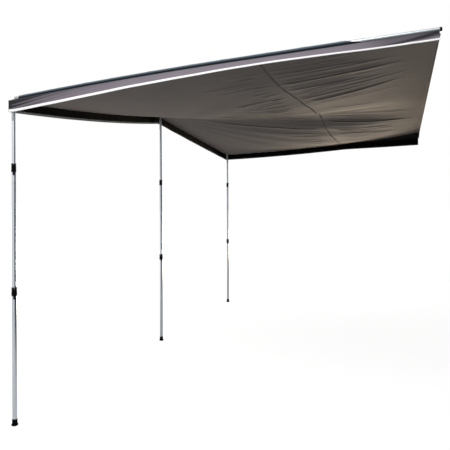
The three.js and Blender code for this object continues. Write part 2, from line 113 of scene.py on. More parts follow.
# %% Points and faces to an object


def enclosed(mesh):
    """The volume inside a closed mesh, negative where its faces point inwards."""
    mesh.calc_loop_triangles()
    corners = np.empty(3 * len(mesh.loop_triangles), np.int32)
    mesh.loop_triangles.foreach_get("vertices", corners)
    places = np.empty(3 * len(mesh.vertices), np.float32)
    mesh.vertices.foreach_get("co", places)
    a, b, c = places.reshape(-1, 3)[corners.reshape(-1, 3)].astype(float).transpose(1, 0, 2)
    return (a * np.cross(b, c)).sum() / 6


def add_object(name, data):
    """An object at the origin, in the scene."""
    obj = bpy.data.objects.new(name, data)
    bpy.context.scene.collection.objects.link(obj)
    return obj


def make_piece(name, points, faces, finishes, painted=None, uvs=None, crisp=35):
    """A mesh object at the origin, with a finish for each face and a map in metres."""
    mesh = bpy.data.meshes.new(name)
    mesh.from_pydata(np.asarray(points, float).tolist(), [], faces)
    for finish in finishes:
        mesh.materials.append(finish)
    if painted is not None:
        mesh.polygons.foreach_set("material_index", np.asarray(painted, np.int32))
    if uvs is not None:
        corner = np.empty(len(mesh.loops), np.int32)
        mesh.loops.foreach_get("vertex_index", corner)
        layer = mesh.uv_layers.new(name="metres")
        layer.data.foreach_set("uv", np.asarray(uvs, np.float32)[corner].ravel())
    if enclosed(mesh) < 0:
        mesh.flip_normals()
    mesh.shade_smooth()
    mesh.set_sharp_from_angle(angle=math.radians(crisp))
    return add_object(name, mesh)


def store_painted_light(piece, values):
    """Keeps a number from 0 to 1 at each point: how much painted light a finish mixes in there."""
    layer = piece.data.attributes.new("marks", "FLOAT", "POINT")
    layer.data.foreach_set("value", np.ravel(values))


# %% [markdown]
# ### Sheets
#
# A sheet of cloth is a grid of points on its middle surface, with half its thickness added on
# both sides. Blender's Solidify could add the thickness too, but then both faces would share
# one material, and this cloth is pale outside and coated dark inside. The map counts metres
# along the cloth, so that a weave keeps its size.

# %% A grid of points to a sheet


def quads(*corners):
    """Faces with four corners, from the numbers of the points at each corner."""
    return np.stack(corners, axis=-1).reshape(-1, 4)


def metres_along(points):
    """For each point of a grid, the metres along both of the grid's directions."""
    along = []
    for axis in (0, 1):
        steps = np.linalg.norm(np.diff(points, axis=axis), axis=2).mean(1 - axis)
        along.append(np.concatenate([[0], np.cumsum(steps)]))
    return np.stack(np.meshgrid(*along, indexing="ij"), axis=-1).reshape(-1, 2)


def make_sheet(name, points, thickness, outside, inside, marks=None):
    """A closed sheet. The first direction of the grid crossed with the second points outside."""
    points = np.asarray(points, float)
    normal = np.cross(np.gradient(points, axis=0), np.gradient(points, axis=1))
    normal *= thickness / 2 / np.linalg.norm(normal, axis=2, keepdims=True)
    both = np.concatenate([(points + normal).reshape(-1, 3), (points - normal).reshape(-1, 3)])
    at = np.arange(len(both) // 2).reshape(points.shape[:2])
    upper = quads(at[:-1, :-1], at[1:, :-1], at[1:, 1:], at[:-1, 1:])
    lower = upper[:, ::-1] + at.size
    loop = np.concatenate([at[:, 0], at[-1, 1:], at[-2::-1, -1], at[0, -2:0:-1]])
    after = np.roll(loop, -1)
    rim = quads(after, loop, loop + at.size, after + at.size)
    faces = np.concatenate([upper, lower, rim]).tolist()
    painted = [0] * len(upper) + [1] * len(lower) + [0] * len(rim)
    uvs = np.tile(metres_along(points), (2, 1))
    sheet = make_piece(name, both, faces, [outside, inside], painted, uvs)
    # The marks are painted shade, or on the sleeves a painted highlight, that a finish mixes in.
    if marks is not None:
        store_painted_light(sheet, [marks, marks])
    return sheet


# %% [markdown]
# ### Tubes, tapes and turned parts
#
# A tube or a tape is a section carried along a path: a ring of points for each place on the
# path, joined to the next ring. A turned part is a profile spun about an axis. Blender's Spin
# and Screw do the same, but a few lines of mesh code close the poles and the ends as well.
# Real edges are never knife sharp, so a small function rounds the corners of any outline.

# %% Rings, profiles and rounded corners


def make_loft(name, rings, finish, bore=None, crisp=35):
    """A body over rings of points, closed at both ends, or hollow where bore has rings too."""
    rings = np.asarray(rings, float)
    points, uvs = rings.reshape(-1, 3), metres_along(rings)
    at = np.arange(len(points)).reshape(rings.shape[:2])
    beside = np.roll(at, -1, axis=1)
    faces = quads(at[:-1], beside[:-1], beside[1:], at[1:]).tolist()
    if bore is None:
        faces += [at[0, ::-1].tolist(), at[-1].tolist()]
    else:
        inner, near = at + at.size, beside + at.size
        faces += quads(inner[1:], near[1:], near[:-1], inner[:-1]).tolist()
        faces += quads(at[0], inner[0], near[0], beside[0]).tolist()
        faces += quads(beside[-1], near[-1], inner[-1], at[-1]).tolist()
        points = np.concatenate([points, np.asarray(bore, float).reshape(-1, 3)])
        uvs = np.tile(uvs, (2, 1))
    return make_piece(name, points, faces, [finish], uvs=uvs, crisp=crisp)


def rounded(outline, radius, closed=False):
    """The outline with each corner cut back and curved."""
    outline = [np.array(point, float) for point in outline]
    result = []
    for i, point in enumerate(outline):
        if not closed and i in (0, len(outline) - 1):
            result.append(point)
            continue
        before, after = outline[i - 1], outline[(i + 1) % len(outline)]
        back, ahead = before - point, after - point
        cut = min(radius, np.linalg.norm(back) * 0.45, np.linalg.norm(ahead) * 0.45)
        start = point + back / np.linalg.norm(back) * cut
        end = point + ahead / np.linalg.norm(ahead) * cut
        for t in (0, 0.5, 1):
            result.append((1 - t) ** 2 * start + 2 * t * (1 - t) * point + t**2 * end)
    return result


def arc(radius, angles, centre=(0, 0)):
    """Points on a circle round a centre, one at each angle."""
    return [(centre[0] + radius * math.cos(t), centre[1] + radius * math.sin(t)) for t in angles]


def spun(profile, sides=48, closed=False):
    """Points and faces of a profile of (radius, height) spun about Z. Radius 0 is a pole.

    A closed profile, such as a tube's, is joined from its end to its start.
    """
    points, rings = [], []
    for radius, height in profile:
        if radius < 1e-9:
            rings.append([len(points)])
            points.append((0, 0, height))
            continue
        rings.append(list(range(len(points), len(points) + sides)))
        for k in range(sides):
            turn = 2 * math.pi * k / sides
            points.append((radius * math.cos(turn), radius * math.sin(turn), height))
    faces = []
    for low, high in zip(rings, rings[1:] + rings[:closed]):
        for k in range(sides):
            a, b = low[k % len(low)], low[(k + 1) % len(low)]
            c, d = high[(k + 1) % len(high)], high[k % len(high)]
            face = list(dict.fromkeys([a, b, c, d]))
            if len(face) > 2:
                faces.append(face)
    return np.array(points), faces


# %% [markdown]
# ## Colours and finishes
#
# Colours are written as a painter's hex values and turned to the linear numbers that the
# renderer works in. Each finish starts from the real material and how its surface was made,
# and is drawn by nodes, so it has no edge and no resolution.

# %% Colours and nodes


def colour(code):
    """A hex colour in linear light."""
    parts = [int(code[i : i + 2], 16) / 255 for i in (1, 3, 5)]
    linear = [c / 12.92 if c <= 0.04045 else ((c + 0.055) / 1.055) ** 2.4 for c in parts]
    return (*linear, 1.0)


def add_node(tree, kind, inputs=(), **settings):
    """Adds a node. An input is a value for its socket, or the output that feeds it."""
    node = tree.nodes.new(kind)
    for name, value in settings.items():
        setattr(node, name, value)
    for name, value in dict(inputs).items():
        if isinstance(value, bpy.types.NodeSocket):
            tree.links.new(value, node.inputs[name])
        else:
            node.inputs[name].default_value = value
    return node


def blank_material(name):
    """A material without nodes, and the tree that they go into."""
    material = bpy.data.materials.new(name)
    material.use_nodes = True
    material.node_tree.nodes.clear()
    return material, material.node_tree


def patched(tree, noise, face, shade, spread=None):
    """A colour that drifts between two in patches, with the noise spread between bounds."""
    share = add_node(tree, "ShaderNodeTexNoise", noise).outputs["Fac"]
    if spread:
        share = add_node(tree, "ShaderNodeMapRange", {"Value": share, **spread}).outputs[0]
    tints = {0: share, 6: colour(face), 7: colour(shade)}
    return add_node(tree, "ShaderNodeMix", tints, data_type="RGBA").outputs[2]


def finish_off(tree, values, strength, relief, height):
    """Ends a finish: a shader with these values, under a relief in metres that height draws."""
    raised = {"Strength": strength, "Distance": relief, "Height": height}
    normal = add_node(tree, "ShaderNodeBump", raised).outputs["Normal"]
    shader = add_node(tree, "ShaderNodeBsdfPrincipled", {**values, "Normal": normal})
    add_node(tree, "ShaderNodeOutputMaterial", {"Surface": shader.outputs[0]})


def waves(spacing):
    """The scale at which a wave texture repeats at a spacing: its own waves are 2 pi / 20 long."""
    return 2 * math.pi / 20 / spacing


# %% [markdown]
# ### Woven cloth
#
# The roof and the valances are woven polyester with a coating. The threads are about 0.4 mm
# apart, far finer than a pixel here, so the weave is drawn at 3 mm: it then shows as a faint
# grain. Two waves that cross, the higher one on top at each point, make the over and under of
# a plain weave. Slow noise shifts the colour a little, as dye and dust do, and cloth scatters
# light at grazing angles, which is what sheen is for.

# %% Cloth finishes
weave_spacing = 0.003


def woven_cloth(name, face, shade, roughness, sheen, patch=2.2, gloss=0.2, painted_light=None):
    """Woven polyester, with patch slow colour patches to a metre and a colour for painted light.
    """
    material, tree = blank_material(name)
    where = add_node(tree, "ShaderNodeUVMap", uv_map="metres").outputs["UV"]
    wave = {"Vector": where, "Scale": waves(weave_spacing), "Distortion": 0.6, "Detail": 1.0}
    warp, weft = (
        add_node(tree, "ShaderNodeTexWave", wave, bands_direction=way).outputs["Fac"]
        for way in "XY"
    )
    weave = add_node(tree, "ShaderNodeMath", {0: warp, 1: weft}, operation="MAXIMUM")
    slow = {"Vector": where, "Scale": patch, "Detail": 4.0, "Roughness": 0.6}
    tint = patched(tree, slow, face, shade)
    # The marks attribute holds painted shade on the roof and valances, and a painted highlight on
    # the sleeves.
    if painted_light:
        marks = add_node(tree, "ShaderNodeAttribute", attribute_name="marks").outputs["Fac"]
        tints = {0: marks, 6: tint, 7: colour(painted_light)}
        tint = add_node(tree, "ShaderNodeMix", tints, data_type="RGBA").outputs[2]
    values = {"Base Color": tint, "Roughness": roughness, "Specular IOR Level": gloss}
    values |= {"Sheen Weight": sheen, "Sheen Roughness": 0.5}
    finish_off(tree, values, 0.35, 0.00006, weave.outputs[0])
    return material


roof_outer = woven_cloth("coated polyester, outer face", "#6c696b", "#5f5c5e", 0.85, 0.15)
# Its last colour is painted shade, mixed in along the wrinkles and the middle field.
roof_inner = woven_cloth(
    "coated polyester, inner face", "#65605d", "#5a5552", 0.8, 0.0, gloss=0.06, painted_light="#2c2724"
)
seam_inner = woven_cloth("felled seam, inner face", "#5b5653", "#524d4a", 0.8, 0.0, gloss=0.0)
# Its last colour is painted shade: under the top seam, in the right valance's pleats and along its
# fold.
valance_outer = woven_cloth(
    "satin woven polyester", "#7d757e", "#6e6670", 0.6, 0.1, 5.0, painted_light="#141319"
)
black_backing = woven_cloth("black coated backing", "#080808", "#050505", 0.8, 0.0, gloss=0.04)
# Its last colour is a painted highlight along the top of each sleeve.
sleeve_cloth = woven_cloth(
    "navy woven sleeve cloth", "#0a0e15", "#06080d", 0.6, 0.0, 9.0, gloss=0.08, painted_light="#8295a3"
)

print("cloth finishes:", sum(1 for m in bpy.data.materials if m.node_tree))

# %% [markdown]
# ### Tape, thread and vinyl
#
# Binding tape is a bright white woven tape with fine ribs across it. The ribs are a wave along
# the tape's length. The bead is a soft vinyl cord, smooth and a little shiny, and the thread
# is a twisted polyester yarn.

# %% Tape, thread and vinyl
rib_spacing = 0.002


def ribbed(name, face, shade, roughness, spacing, where_from, gloss=0.2):
    """A surface with fine ribs across X, from its own map or from its place on the piece."""
    material, tree = blank_material(name)
    if where_from == "map":
        where = add_node(tree, "ShaderNodeUVMap", uv_map="metres").outputs["UV"]
    else:
        where = add_node(tree, "ShaderNodeTexCoord").outputs["Object"]
    wave = {"Vector": where, "Scale": waves(spacing), "Distortion": 0.4}
    ribs = add_node(tree, "ShaderNodeTexWave", wave, bands_direction="X").outputs["Fac"]
    tint = patched(tree, {"Vector": where, "Scale": 14.0, "Detail": 3.0}, face, shade)
    values = {"Base Color": tint, "Roughness": roughness, "Specular IOR Level": gloss}
    finish_off(tree, values, 0.3, 0.0001, ribs)
    return material


white_tape = ribbed("white woven binding tape", "#f6f6f4", "#ececea", 0.7, rib_spacing, "map")
# The white tape drawn grey as painted shade, for its inner face on the right half.
tape_in_painted_shade = ribbed("white binding tape, painted shade", "#8b9090", "#7f8484", 0.8, rib_spacing, "map")
vinyl = ribbed("extruded soft vinyl", "#2b2a2a", "#242323", 0.7, 0.003, "place", 0.03)
dark_thread = ribbed("dark polyester thread", "#2a2827", "#211f1e", 0.6, 0.0015, "place")
white_thread = ribbed("white polyester thread", "#efefec", "#dededa", 0.6, 0.0015, "place")

# %% [markdown]
# ### Drawn and anodised aluminium, plated steel
#
# The tubes are drawn through a die, which leaves faint lines along them, and then anodised,
# which softens the shine. The lines are noise stretched along the tube: very fine round it
# and long along it. They vary the roughness and lift the surface by a hundredth of a
# millimetre. The pins are nickel plated steel, brighter and smoother.

# %% Metals


def drawn_metal(name, face, roughness, line_width, line_length, relief, lying=False):
    """Metal with lines along Z, or along Y for a piece that lies towards the wall."""
    material, tree = blank_material(name)
    where = add_node(tree, "ShaderNodeTexCoord").outputs["Object"]
    fine, slow = 1 / line_width, 1 / line_length
    stretch = (fine, slow, fine) if lying else (fine, fine, slow)
    there = add_node(tree, "ShaderNodeMapping", {"Vector": where, "Scale": stretch}).outputs[0]
    noise = {"Vector": there, "Scale": 1.0, "Detail": 2.0}
    drawn = add_node(tree, "ShaderNodeTexNoise", noise).outputs["Fac"]
    spread = {"Value": drawn, "From Min": 0.3, "From Max": 0.7}
    spread |= {"To Min": roughness * 0.8, "To Max": roughness * 1.2}
    matt = add_node(tree, "ShaderNodeMapRange", spread).outputs[0]
    values = {"Base Color": colour(face), "Metallic": 1.0, "Roughness": matt}
    finish_off(tree, values, 0.2, relief, drawn)
    return material


leg_aluminium = drawn_metal("drawn anodised aluminium", "#c3c9cf", 0.3, 0.0012, 0.12, 0.00002)
rafter_aluminium = drawn_metal(
    "drawn anodised aluminium, lying", "#b4babf", 0.36, 0.0012, 0.12, 0.00002, lying=True
)
plated_steel = drawn_metal("nickel plated steel", "#c9c8c4", 0.22, 0.0008, 0.01, 0.00001)

# %% [markdown]
# ### Moulded nylon and rubber
#
# Clips and caps are moulded nylon. The mould's spark-eroded skin gives a fine grain, drawn
# here as noise with grains of half a millimetre. The feet are rubber: blacker in the shadows,
# rough, with a little dust that lightens it in patches.

# %% Plastics


def moulded(name, face, worn, roughness, grain, relief, gloss=0.2):
    """A moulded plastic or rubber with a fine grain, and paler where it is worn or dusty."""
    material, tree = blank_material(name)
    where = add_node(tree, "ShaderNodeTexCoord").outputs["Object"]
    grains = {"Vector": where, "Scale": 1 / grain, "Detail": 2.0}
    skin = add_node(tree, "ShaderNodeTexNoise", grains).outputs["Fac"]
    dust = {"Vector": where, "Scale": 60.0, "Detail": 5.0}
    spread = {"From Min": 0.5, "From Max": 0.8, "To Max": 0.6}
    tint = patched(tree, dust, face, worn, spread)
    values = {"Base Color": tint, "Roughness": roughness, "Specular IOR Level": gloss}
    finish_off(tree, values, 0.4, relief, skin)
    return material


black_nylon = moulded("moulded black nylon", "#050608", "#0c0d10", 0.5, 0.0005, 0.00004, 0.06)
grey_nylon = moulded("moulded grey nylon", "#34383b", "#44484b", 0.5, 0.0005, 0.00004)
cap_nylon = moulded("moulded pale grey nylon", "#a2a9af", "#b3b9be", 0.35, 0.0005, 0.00003, 0.5)
foot_rubber = moulded("moulded black rubber", "#050606", "#0d0d0e", 0.85, 0.0008, 0.00008, 0.05)

# %% [markdown]
# ## The roof's shape
#
# The roof hangs between the rail, the two rafters and the centre leg. Its height is worked
# out as the frame's designer did: straight edges, a ridge to the centre leg, a sag in each
# field, and broad folds that fan out from the centre leg. A cloth simulation could find a
# similar shape, but it would not lie on the frame's edges to the millimetre, and the wrinkles
# of this cloth come from how it was rolled up and pulled tight, so they are listed one by one.

# %% Heights of rafters, edges and roof
half_length, depth, rail_end = 2.0, 2.4, 0.00405
rafter_x, leg_y = 1.98, -2.38
sides = {"right": 1, "left": -1}
leg_places = {"right": rafter_x, "centre": 0.0, "left": -rafter_x}
flat_front, bare, rafter_straight = 2.36, 0.35, 0.95
rafter_start, rafter_over_cloth = 0.01055, 0.01355
corner_drop, peak_rise, peak_flat, peak_reach = 0.152, 0.048, 0.03, 1.93
slope_right, slope_left = 0.05, 0.078
sag_right, sag_left, hollow_depth, fan_depth, fan_folds = 0.02, 0.003, 0.09, 0.003, 24
droop_height, droop_width, droop_depth = 0.047, 0.33, 0.85
cloth_thickness, clearance = 0.0015, 0.0003


def blend_in(value, start, end):
    """0 before start and 1 after end, with a smooth rise between them."""
    share = np.clip((value - start) / (end - start), 0, 1)
    return share * share * (3 - 2 * share)


def hill(value, centre, width):
    """1 at the centre, falling smoothly to nearly nothing at twice the width from it."""
    return np.exp(-(((value - centre) / width) ** 2))


def rafter_height(side, distance):
    """The right rafter bends down in front. The left one falls faster and bends up."""
    slope = np.where(np.asarray(side) < 0, slope_left, slope_right)
    bend = rafter_start - slope * flat_front + corner_drop - rafter_over_cloth
    bent = np.maximum(0, (distance - rafter_straight) / (flat_front - rafter_straight))
    return rafter_start - slope * distance - bend * bent**2


def edge_height(side, distance):
    """The cloth's edge lies under its rafter, and falls to the rail where that is bare."""
    covered = np.minimum(distance, flat_front)
    seated = (rafter_height(side, bare) - rafter_over_cloth) * covered / bare
    return np.where(covered >= bare, rafter_height(side, covered) - rafter_over_cloth, seated)


def droop(x, y):
    """The left rear corner hangs down from a crease, which is rounded here."""
    share = 1 - (half_length + x) / droop_width - (-rail_end - y) / droop_depth
    soft = 0.07
    rounding = np.where(share < -soft, 0, (share + soft) ** 2 / (4 * soft))
    return droop_height * np.where(share > soft, share, rounding)


def main_shape(x, y):
    """Height of the roof's middle surface without its wrinkles."""
    across = np.clip((np.abs(x) - peak_flat) / peak_reach, 0, 1)
    down = np.clip((-rail_end - y) / (flat_front - rail_end), 0, 1)
    edge = edge_height(x, -y) + corner_drop * down
    sag = np.where(x < 0, sag_left, sag_right)
    front = peak_rise - (peak_rise + corner_drop) * across - sag * 4 * across * (1 - across)
    hollow = 4 * down * (1 - down) * (1 - across**4)
    ridge = 1 - 0.45 * hill(across, 0, 0.18)
    fan = np.cos(fan_folds * np.arctan2(x, depth + y))
    folds = hollow * (hollow_depth * ridge + fan_depth * fan)
    return down * front + edge * across**2 - folds - droop(x, y)


# %% [markdown]
# ### Wrinkles
#
# Each wrinkle is a ridge on the underside along a line, deepest in its middle and gone at its
# ends. The long ones run from the seam to the rail, in two fans where the cloth is gathered
# into the seam, and a few run forward from it. They are broader on the left half, where the
# cloth is slacker. Between them come many finer ones, with places from a seeded random
# generator, so that they are the same each time. A mask holds the cloth flat where it is
# sewn, and a stiff strip flattens the wrinkles next to the seam. The right flank of each
# wrinkle also gets painted shade, mixed into the cloth's colour, and so does a wide field in
# the middle, in front of the seam.

# %% Wrinkle lines and their depth
# For each kind: depth and width in metres, and how much painted shade its right flank gets.
strong, medium, faint = (0.0052, 0.018, 0.75), (0.0036, 0.015, 0.5), (0.002, 0.013, 0.3)
wrinkle_lines = [
    (medium, [(1.74, -0.84), (1.76, -0.45)]),
    (strong, [(1.56, -0.84), (1.60, -0.18)]),
    (medium, [(1.41, -0.82), (1.44, -0.40)]),
    (medium, [(1.14, -0.80), (1.28, -0.35)]),
    (strong, [(1.04, -0.75), (1.23, -0.18)]),
    (medium, [(0.09, -0.80), (-0.12, -0.04)]),
    (strong, [(-0.22, -0.83), (-0.51, -0.06)]),
    (medium, [(-0.59, -0.78), (-0.72, -0.20)]),
    (medium, [(-0.82, -0.75), (-1.13, -0.20)]),
    (faint, [(0.64, -0.68), (0.59, -0.32)]),
    (faint, [(1.74, -0.47), (1.71, -0.33)]),
    (faint, [(1.32, -0.99), (1.39, -0.86)]),
    (medium, [(1.13, -1.24), (1.22, -1.02), (1.23, -0.86)]),
    (faint, [(1.56, -1.08), (1.56, -0.87)]),
    (medium, [(0.65, -1.58), (0.51, -1.13), (0.06, -0.88)]),
    (strong, [(-0.13, -1.93), (-0.24, -1.59), (-0.35, -1.25), (-0.53, -0.87)]),
    (faint, [(0.88, -1.39), (0.72, -0.88)]),
]
random = np.random.default_rng(11)
lean_from = -0.84
# How far a fine wrinkle leans to the right for each metre towards the wall, by its place at
# Y = lean_from. The first row is for those behind the seam, the second for those before it.
known_x = [-1.3, -0.82, -0.59, -0.22, 0.09, 1.04, 1.14, 1.41, 1.56, 1.82]
lean_behind = [-0.55, -0.56, -0.3, -0.38, -0.28, 0.33, 0.3, 0.08, 0.06, 0.04]
lean_before = [0.1, -0.2, -0.35, -0.4, -0.7, 0.2, 0.45, 0.4, 0.15, 0.04]
behind, before = (-0.86, -0.7, -0.5, -0.12), (-1.35, -1.0, -0.95, -0.86)
for low, high, count, leans, ends in (
    (0.9, 1.84, 26, lean_behind, behind),
    (-1.4, 0.3, 30, lean_behind, behind),
    (0.5, 1.84, 26, lean_before, before),
    (-1.3, 0.4, 16, lean_before, before),
):
    for start_x in np.linspace(low, high, count) + random.uniform(-0.011, 0.011, count):
        lean = np.interp(start_x, known_x, leans) + random.uniform(-0.04, 0.04)
        near, far = random.uniform(*ends[:2]), random.uniform(*ends[2:])
        line = [(start_x + lean * (end - lean_from), end) for end in (near, far)]
        # A fine wrinkle's depth and width, and the painted shade on its right flank.
        size = (random.uniform(0.0018, 0.0038), random.uniform(0.01, 0.013))
        wrinkle_lines.append(((*size, random.uniform(0.0, 0.3)), line))


def along_line(x, y, line):
    """How far points are to the right of a line that runs to the wall, and how far along it."""
    line = np.array(line)
    pieces = np.linalg.norm(np.diff(line, axis=0), axis=1)
    passed = np.concatenate([[0], np.cumsum(pieces)])
    away = np.full(np.shape(x), np.inf)
    place = np.zeros(np.shape(x))
    for start, end, length, so_far in zip(line, line[1:], pieces, passed):
        way = (end - start) / length
        t = (x - start[0]) * way[0] + (y - start[1]) * way[1]
        held = np.clip(t, 0, length)
        gone = np.hypot(x - start[0] - held * way[0], y - start[1] - held * way[1])
        right = (x - start[0]) * way[1] - (y - start[1]) * way[0]
        nearer = gone < np.abs(away)
        place = np.where(nearer, (so_far + t) / passed[-1], place)
        away = np.where(nearer, np.where(right < 0, -gone, gone), away)
    return away, place


def seam_y(x):
    """The seam is straight on the flat cloth, and the pull of the wrinkles bends it a little."""
    return 0.065 * hill(x, 0.75, 0.75) - 0.865


def wrinkles_at(x, y):
    """How deep the wrinkles are at these points, and how much painted shade the cloth gets there.
    """
    depths, shades = np.zeros(np.shape(x)), np.zeros(np.shape(x))
    for (deep, wide, dark), line in wrinkle_lines:
        away, place = along_line(x, y, line)
        taper = blend_in(place, -0.06, 0.14) * (1 - blend_in(place, 0.7, 1.1))
        slack = np.interp(line[0][0], [0.4, 1.1], [1.4, 1.0])
        away = away / (wide * slack)
        depths += deep * hill(away, 0, 1) * taper
        shades = np.maximum(shades, dark * hill(away, 0.5, 0.55) * taper)
    held = blend_in(half_length - np.abs(x), 0.02, 0.1) * blend_in(-y, 0.012, 0.09)
    held = held * blend_in(y + depth, 0.02, 0.1)
    before_seam = seam_y(x) - y
    stiff_width = np.interp(x, [0.5, 1.0], [0.05, 0.02])
    stiff = 1 - 0.95 * hill(before_seam, 0, stiff_width)
    # Painted shade over a wide field in the middle, stronger in front of the seam, gone further
    # forward.
    field_shade = hill(x, 0.25, 0.4) * (0.8 + 0.3 * blend_in(before_seam, 0.0, 0.03))
    field_shade *= 0.35 * (1 - blend_in(before_seam, 0.3, 0.9))
    return depths * held * stiff, np.maximum(shades * held, field_shade)


def roof_height(x, y):
    return main_shape(x, y) - wrinkles_at(x, y)[0]


def on_roof(x, y, lift=0.0):
    """Points of the roof's middle surface, or lifted off it along its normal."""
    x, y = np.broadcast_arrays(np.asarray(x, float), np.asarray(y, float))
    small = 0.002
    height = roof_height(x, y)
    slope_x = (roof_height(x + small, y) - height) / small
    slope_y = (roof_height(x, y + small) - height) / small
    normal = np.stack([-slope_x, -slope_y, np.ones_like(x)], axis=-1)
    normal /= np.linalg.norm(normal, axis=-1, keepdims=True)
    return np.stack([x, y, height], axis=-1) + lift * normal


everywhere = np.meshgrid(np.linspace(-2, 2, 81), np.linspace(-2.4, 0, 49))
lowest = round(float(main_shape(*everywhere).min()), 4)
print(len(wrinkle_lines), "wrinkles, lowest point of the roof:", lowest)

# %% [markdown]
# ## The roof cloth
#
# The cloth comes off the roll 1.6 m wide, so the roof is sewn from two widths, with one seam
# along its length. Each width is one sheet. They meet under a flat-felled seam, in which both
# edges are folded into each other and sewn down twice. The rear edge is doubled into a hem,
# and the hanging corner is faced with the black backing of the valances.

# %% The two widths of cloth
for name, columns, rows in (("roof_front_width", 541, 87), ("roof_rear_width", 721, 65)):
    x, share = np.meshgrid(np.linspace(-2, 2, columns), np.linspace(0, 1, rows), indexing="ij")
    start, end = (-depth, seam_y(x)) if name == "roof_front_width" else (seam_y(x), -rail_end)
    y = start + (end - start) * share
    # The painted shade of the wrinkles and the field goes into the sheet's marks.
    shades = wrinkles_at(x, y)[1]
    sheet = make_sheet(name, on_roof(x, y), cloth_thickness, roof_outer, roof_inner, shades)
    dress(sheet, "roof_sheet")
    print(name, len(sheet.data.polygons), "faces")

# %% Seam, hem and the lining of the hanging corner


def strip(name, xs, ys, lift, thickness, outside, inside, middle=lambda x: 0):
    """A strip of cloth on the roof, at a distance from its middle surface.

    xs and ys each give a start, an end and a number of points.
    """
    x, y = np.meshgrid(np.linspace(*xs), np.linspace(*ys), indexing="ij")
    return make_sheet(name, on_roof(x, y + middle(x), lift), thickness, outside, inside)


strip_half, hem_lift, lining_lift = 1.999, -0.0013, -0.0024
band = (-strip_half, strip_half, 401), (-0.006, 0.006, 5)
seam = strip("roof_seam", *band, 0.0, 0.003, roof_outer, seam_inner, seam_y)
band = (-strip_half, strip_half, 321), (-0.03, -rail_end - 0.0002, 8)
hem = strip("rear_hem", *band, hem_lift, 0.001, roof_inner, roof_inner)
for piece in (seam, hem):
    trim(piece, "roof_sheet")


def corner_lining():
    """The lining lies just under the cloth of the hanging corner."""
    s, r = np.meshgrid(np.linspace(0.0, 0.985, 40), np.linspace(0.0, 0.94, 60), indexing="ij")
    y = -rail_end - clearance - r * droop_depth
    x = -half_length + 0.001 + s * droop_width * (1 - r)
    points = on_roof(x, y, lining_lift)
    return make_sheet("corner_lining", points[:, ::-1], 0.0008, black_backing, black_backing)


lining = trim(corner_lining(), "roof_sheet")
print("seam, hem and lining made")

# %% [markdown]
# ## The rail bead
#
# The bead is a vinyl cord along the rear edge, held to the cloth by a tape. It follows the
# edge of the cloth, so a Geometry Nodes tree makes it: it takes a line, rounds it, and carries
# a circle along it. The same tree would make any rod, because its radius and its number of
# sides are inputs.

# %% A tree that carries a circle along a line


def new_tree(name, inputs):
    """A Geometry Nodes tree with its inputs and the line that it gets."""
    tree = bpy.data.node_groups.new(name, "GeometryNodeTree")
    face = tree.interface
    face.new_socket("Geometry", in_out="OUTPUT", socket_type="NodeSocketGeometry")
    face.new_socket("Geometry", in_out="INPUT", socket_type="NodeSocketGeometry")
    for label, (kind, value) in inputs.items():
        socket = face.new_socket(label, in_out="INPUT", socket_type=kind)
        socket.default_value = value
    face.new_socket("Finish", in_out="INPUT", socket_type="NodeSocketMaterial")
    given = tree.nodes.new("NodeGroupInput").outputs
    line = add_node(tree, "GeometryNodeMeshToCurve", {"Mesh": given["Geometry"]})
    return tree, given, line.outputs[0]


def end_tree(tree, given, body):
    """Ends a tree: what it made becomes real faces, shaded smooth, with a finish."""
    real = add_node(tree, "GeometryNodeRealizeInstances", {"Geometry": body.outputs[0]})
    smooth = add_node(tree, "GeometryNodeSetShadeSmooth", {"Geometry": real.outputs[0]})
    painted = {"Geometry": smooth.outputs[0], "Material": given["Finish"]}
    made = add_node(tree, "GeometryNodeSetMaterial", painted)
    add_node(tree, "NodeGroupOutput", {0: made.outputs[0]})
    return tree


def rod_tree():
    inputs = {"Radius": ("NodeSocketFloat", 0.004), "Sides": ("NodeSocketInt", 16)}
    tree, given, line = new_tree("rod along a line", inputs)
    ring = {"Resolution": given["Sides"], "Radius": given["Radius"]}
    circle = add_node(tree, "GeometryNodeCurvePrimitiveCircle", ring).outputs["Curve"]
    carried = {"Curve": line, "Profile Curve": circle, "Fill Caps": True}
    return end_tree(tree, given, add_node(tree, "GeometryNodeCurveToMesh", carried))


def settled(obj, name):
    """What an object's modifiers make of it, as a plain mesh."""
    graph = bpy.context.evaluated_depsgraph_get()
    mesh = bpy.data.meshes.new_from_object(obj.evaluated_get(graph))
    mesh.name = name
    return mesh


def grow(name, tree, lines, values):
    """Runs a tree on lines of points, and gives the result as a plain mesh object."""
    points, edges = [], []
    for line in lines:
        edges += [(len(points) + i, len(points) + i + 1) for i in range(len(line) - 1)]
        points += [tuple(point) for point in line]
    seed = bpy.data.meshes.new(name + "_line")
    seed.from_pydata(points, edges, [])
    carrier = add_object(name + "_line", seed)
    grown = carrier.modifiers.new("grow", "NODES")
    grown.node_group = tree
    for label, value in values.items():
        grown[tree.interface.items_tree[label].identifier] = value
    mesh = settled(carrier, name)
    bpy.data.objects.remove(carrier)
    if enclosed(mesh) < 0:
        mesh.flip_normals()
    return add_object(name, mesh)


# %% The bead and its tape
bead_half, bead_radius = 1.94, 0.00375
bead_x = np.linspace(-bead_half, bead_half, 260)
bead_line = np.stack([bead_x, 0 * bead_x, -droop(bead_x, -rail_end)], axis=-1)
bead_values = {"Radius": bead_radius, "Sides": 20, "Finish": vinyl}
bead = dress(grow("vinyl_rail_bead", rod_tree(), [bead_line], bead_values), "rail_bead")
band = (-bead_half, bead_half, 321), (-0.034, -0.0049, 6)
tape = trim(strip("bead_tape", *band, 0.0012, 0.0007, dark_thread, dark_thread), "rail_bead")
print("bead:", len(bead.data.polygons), "faces")

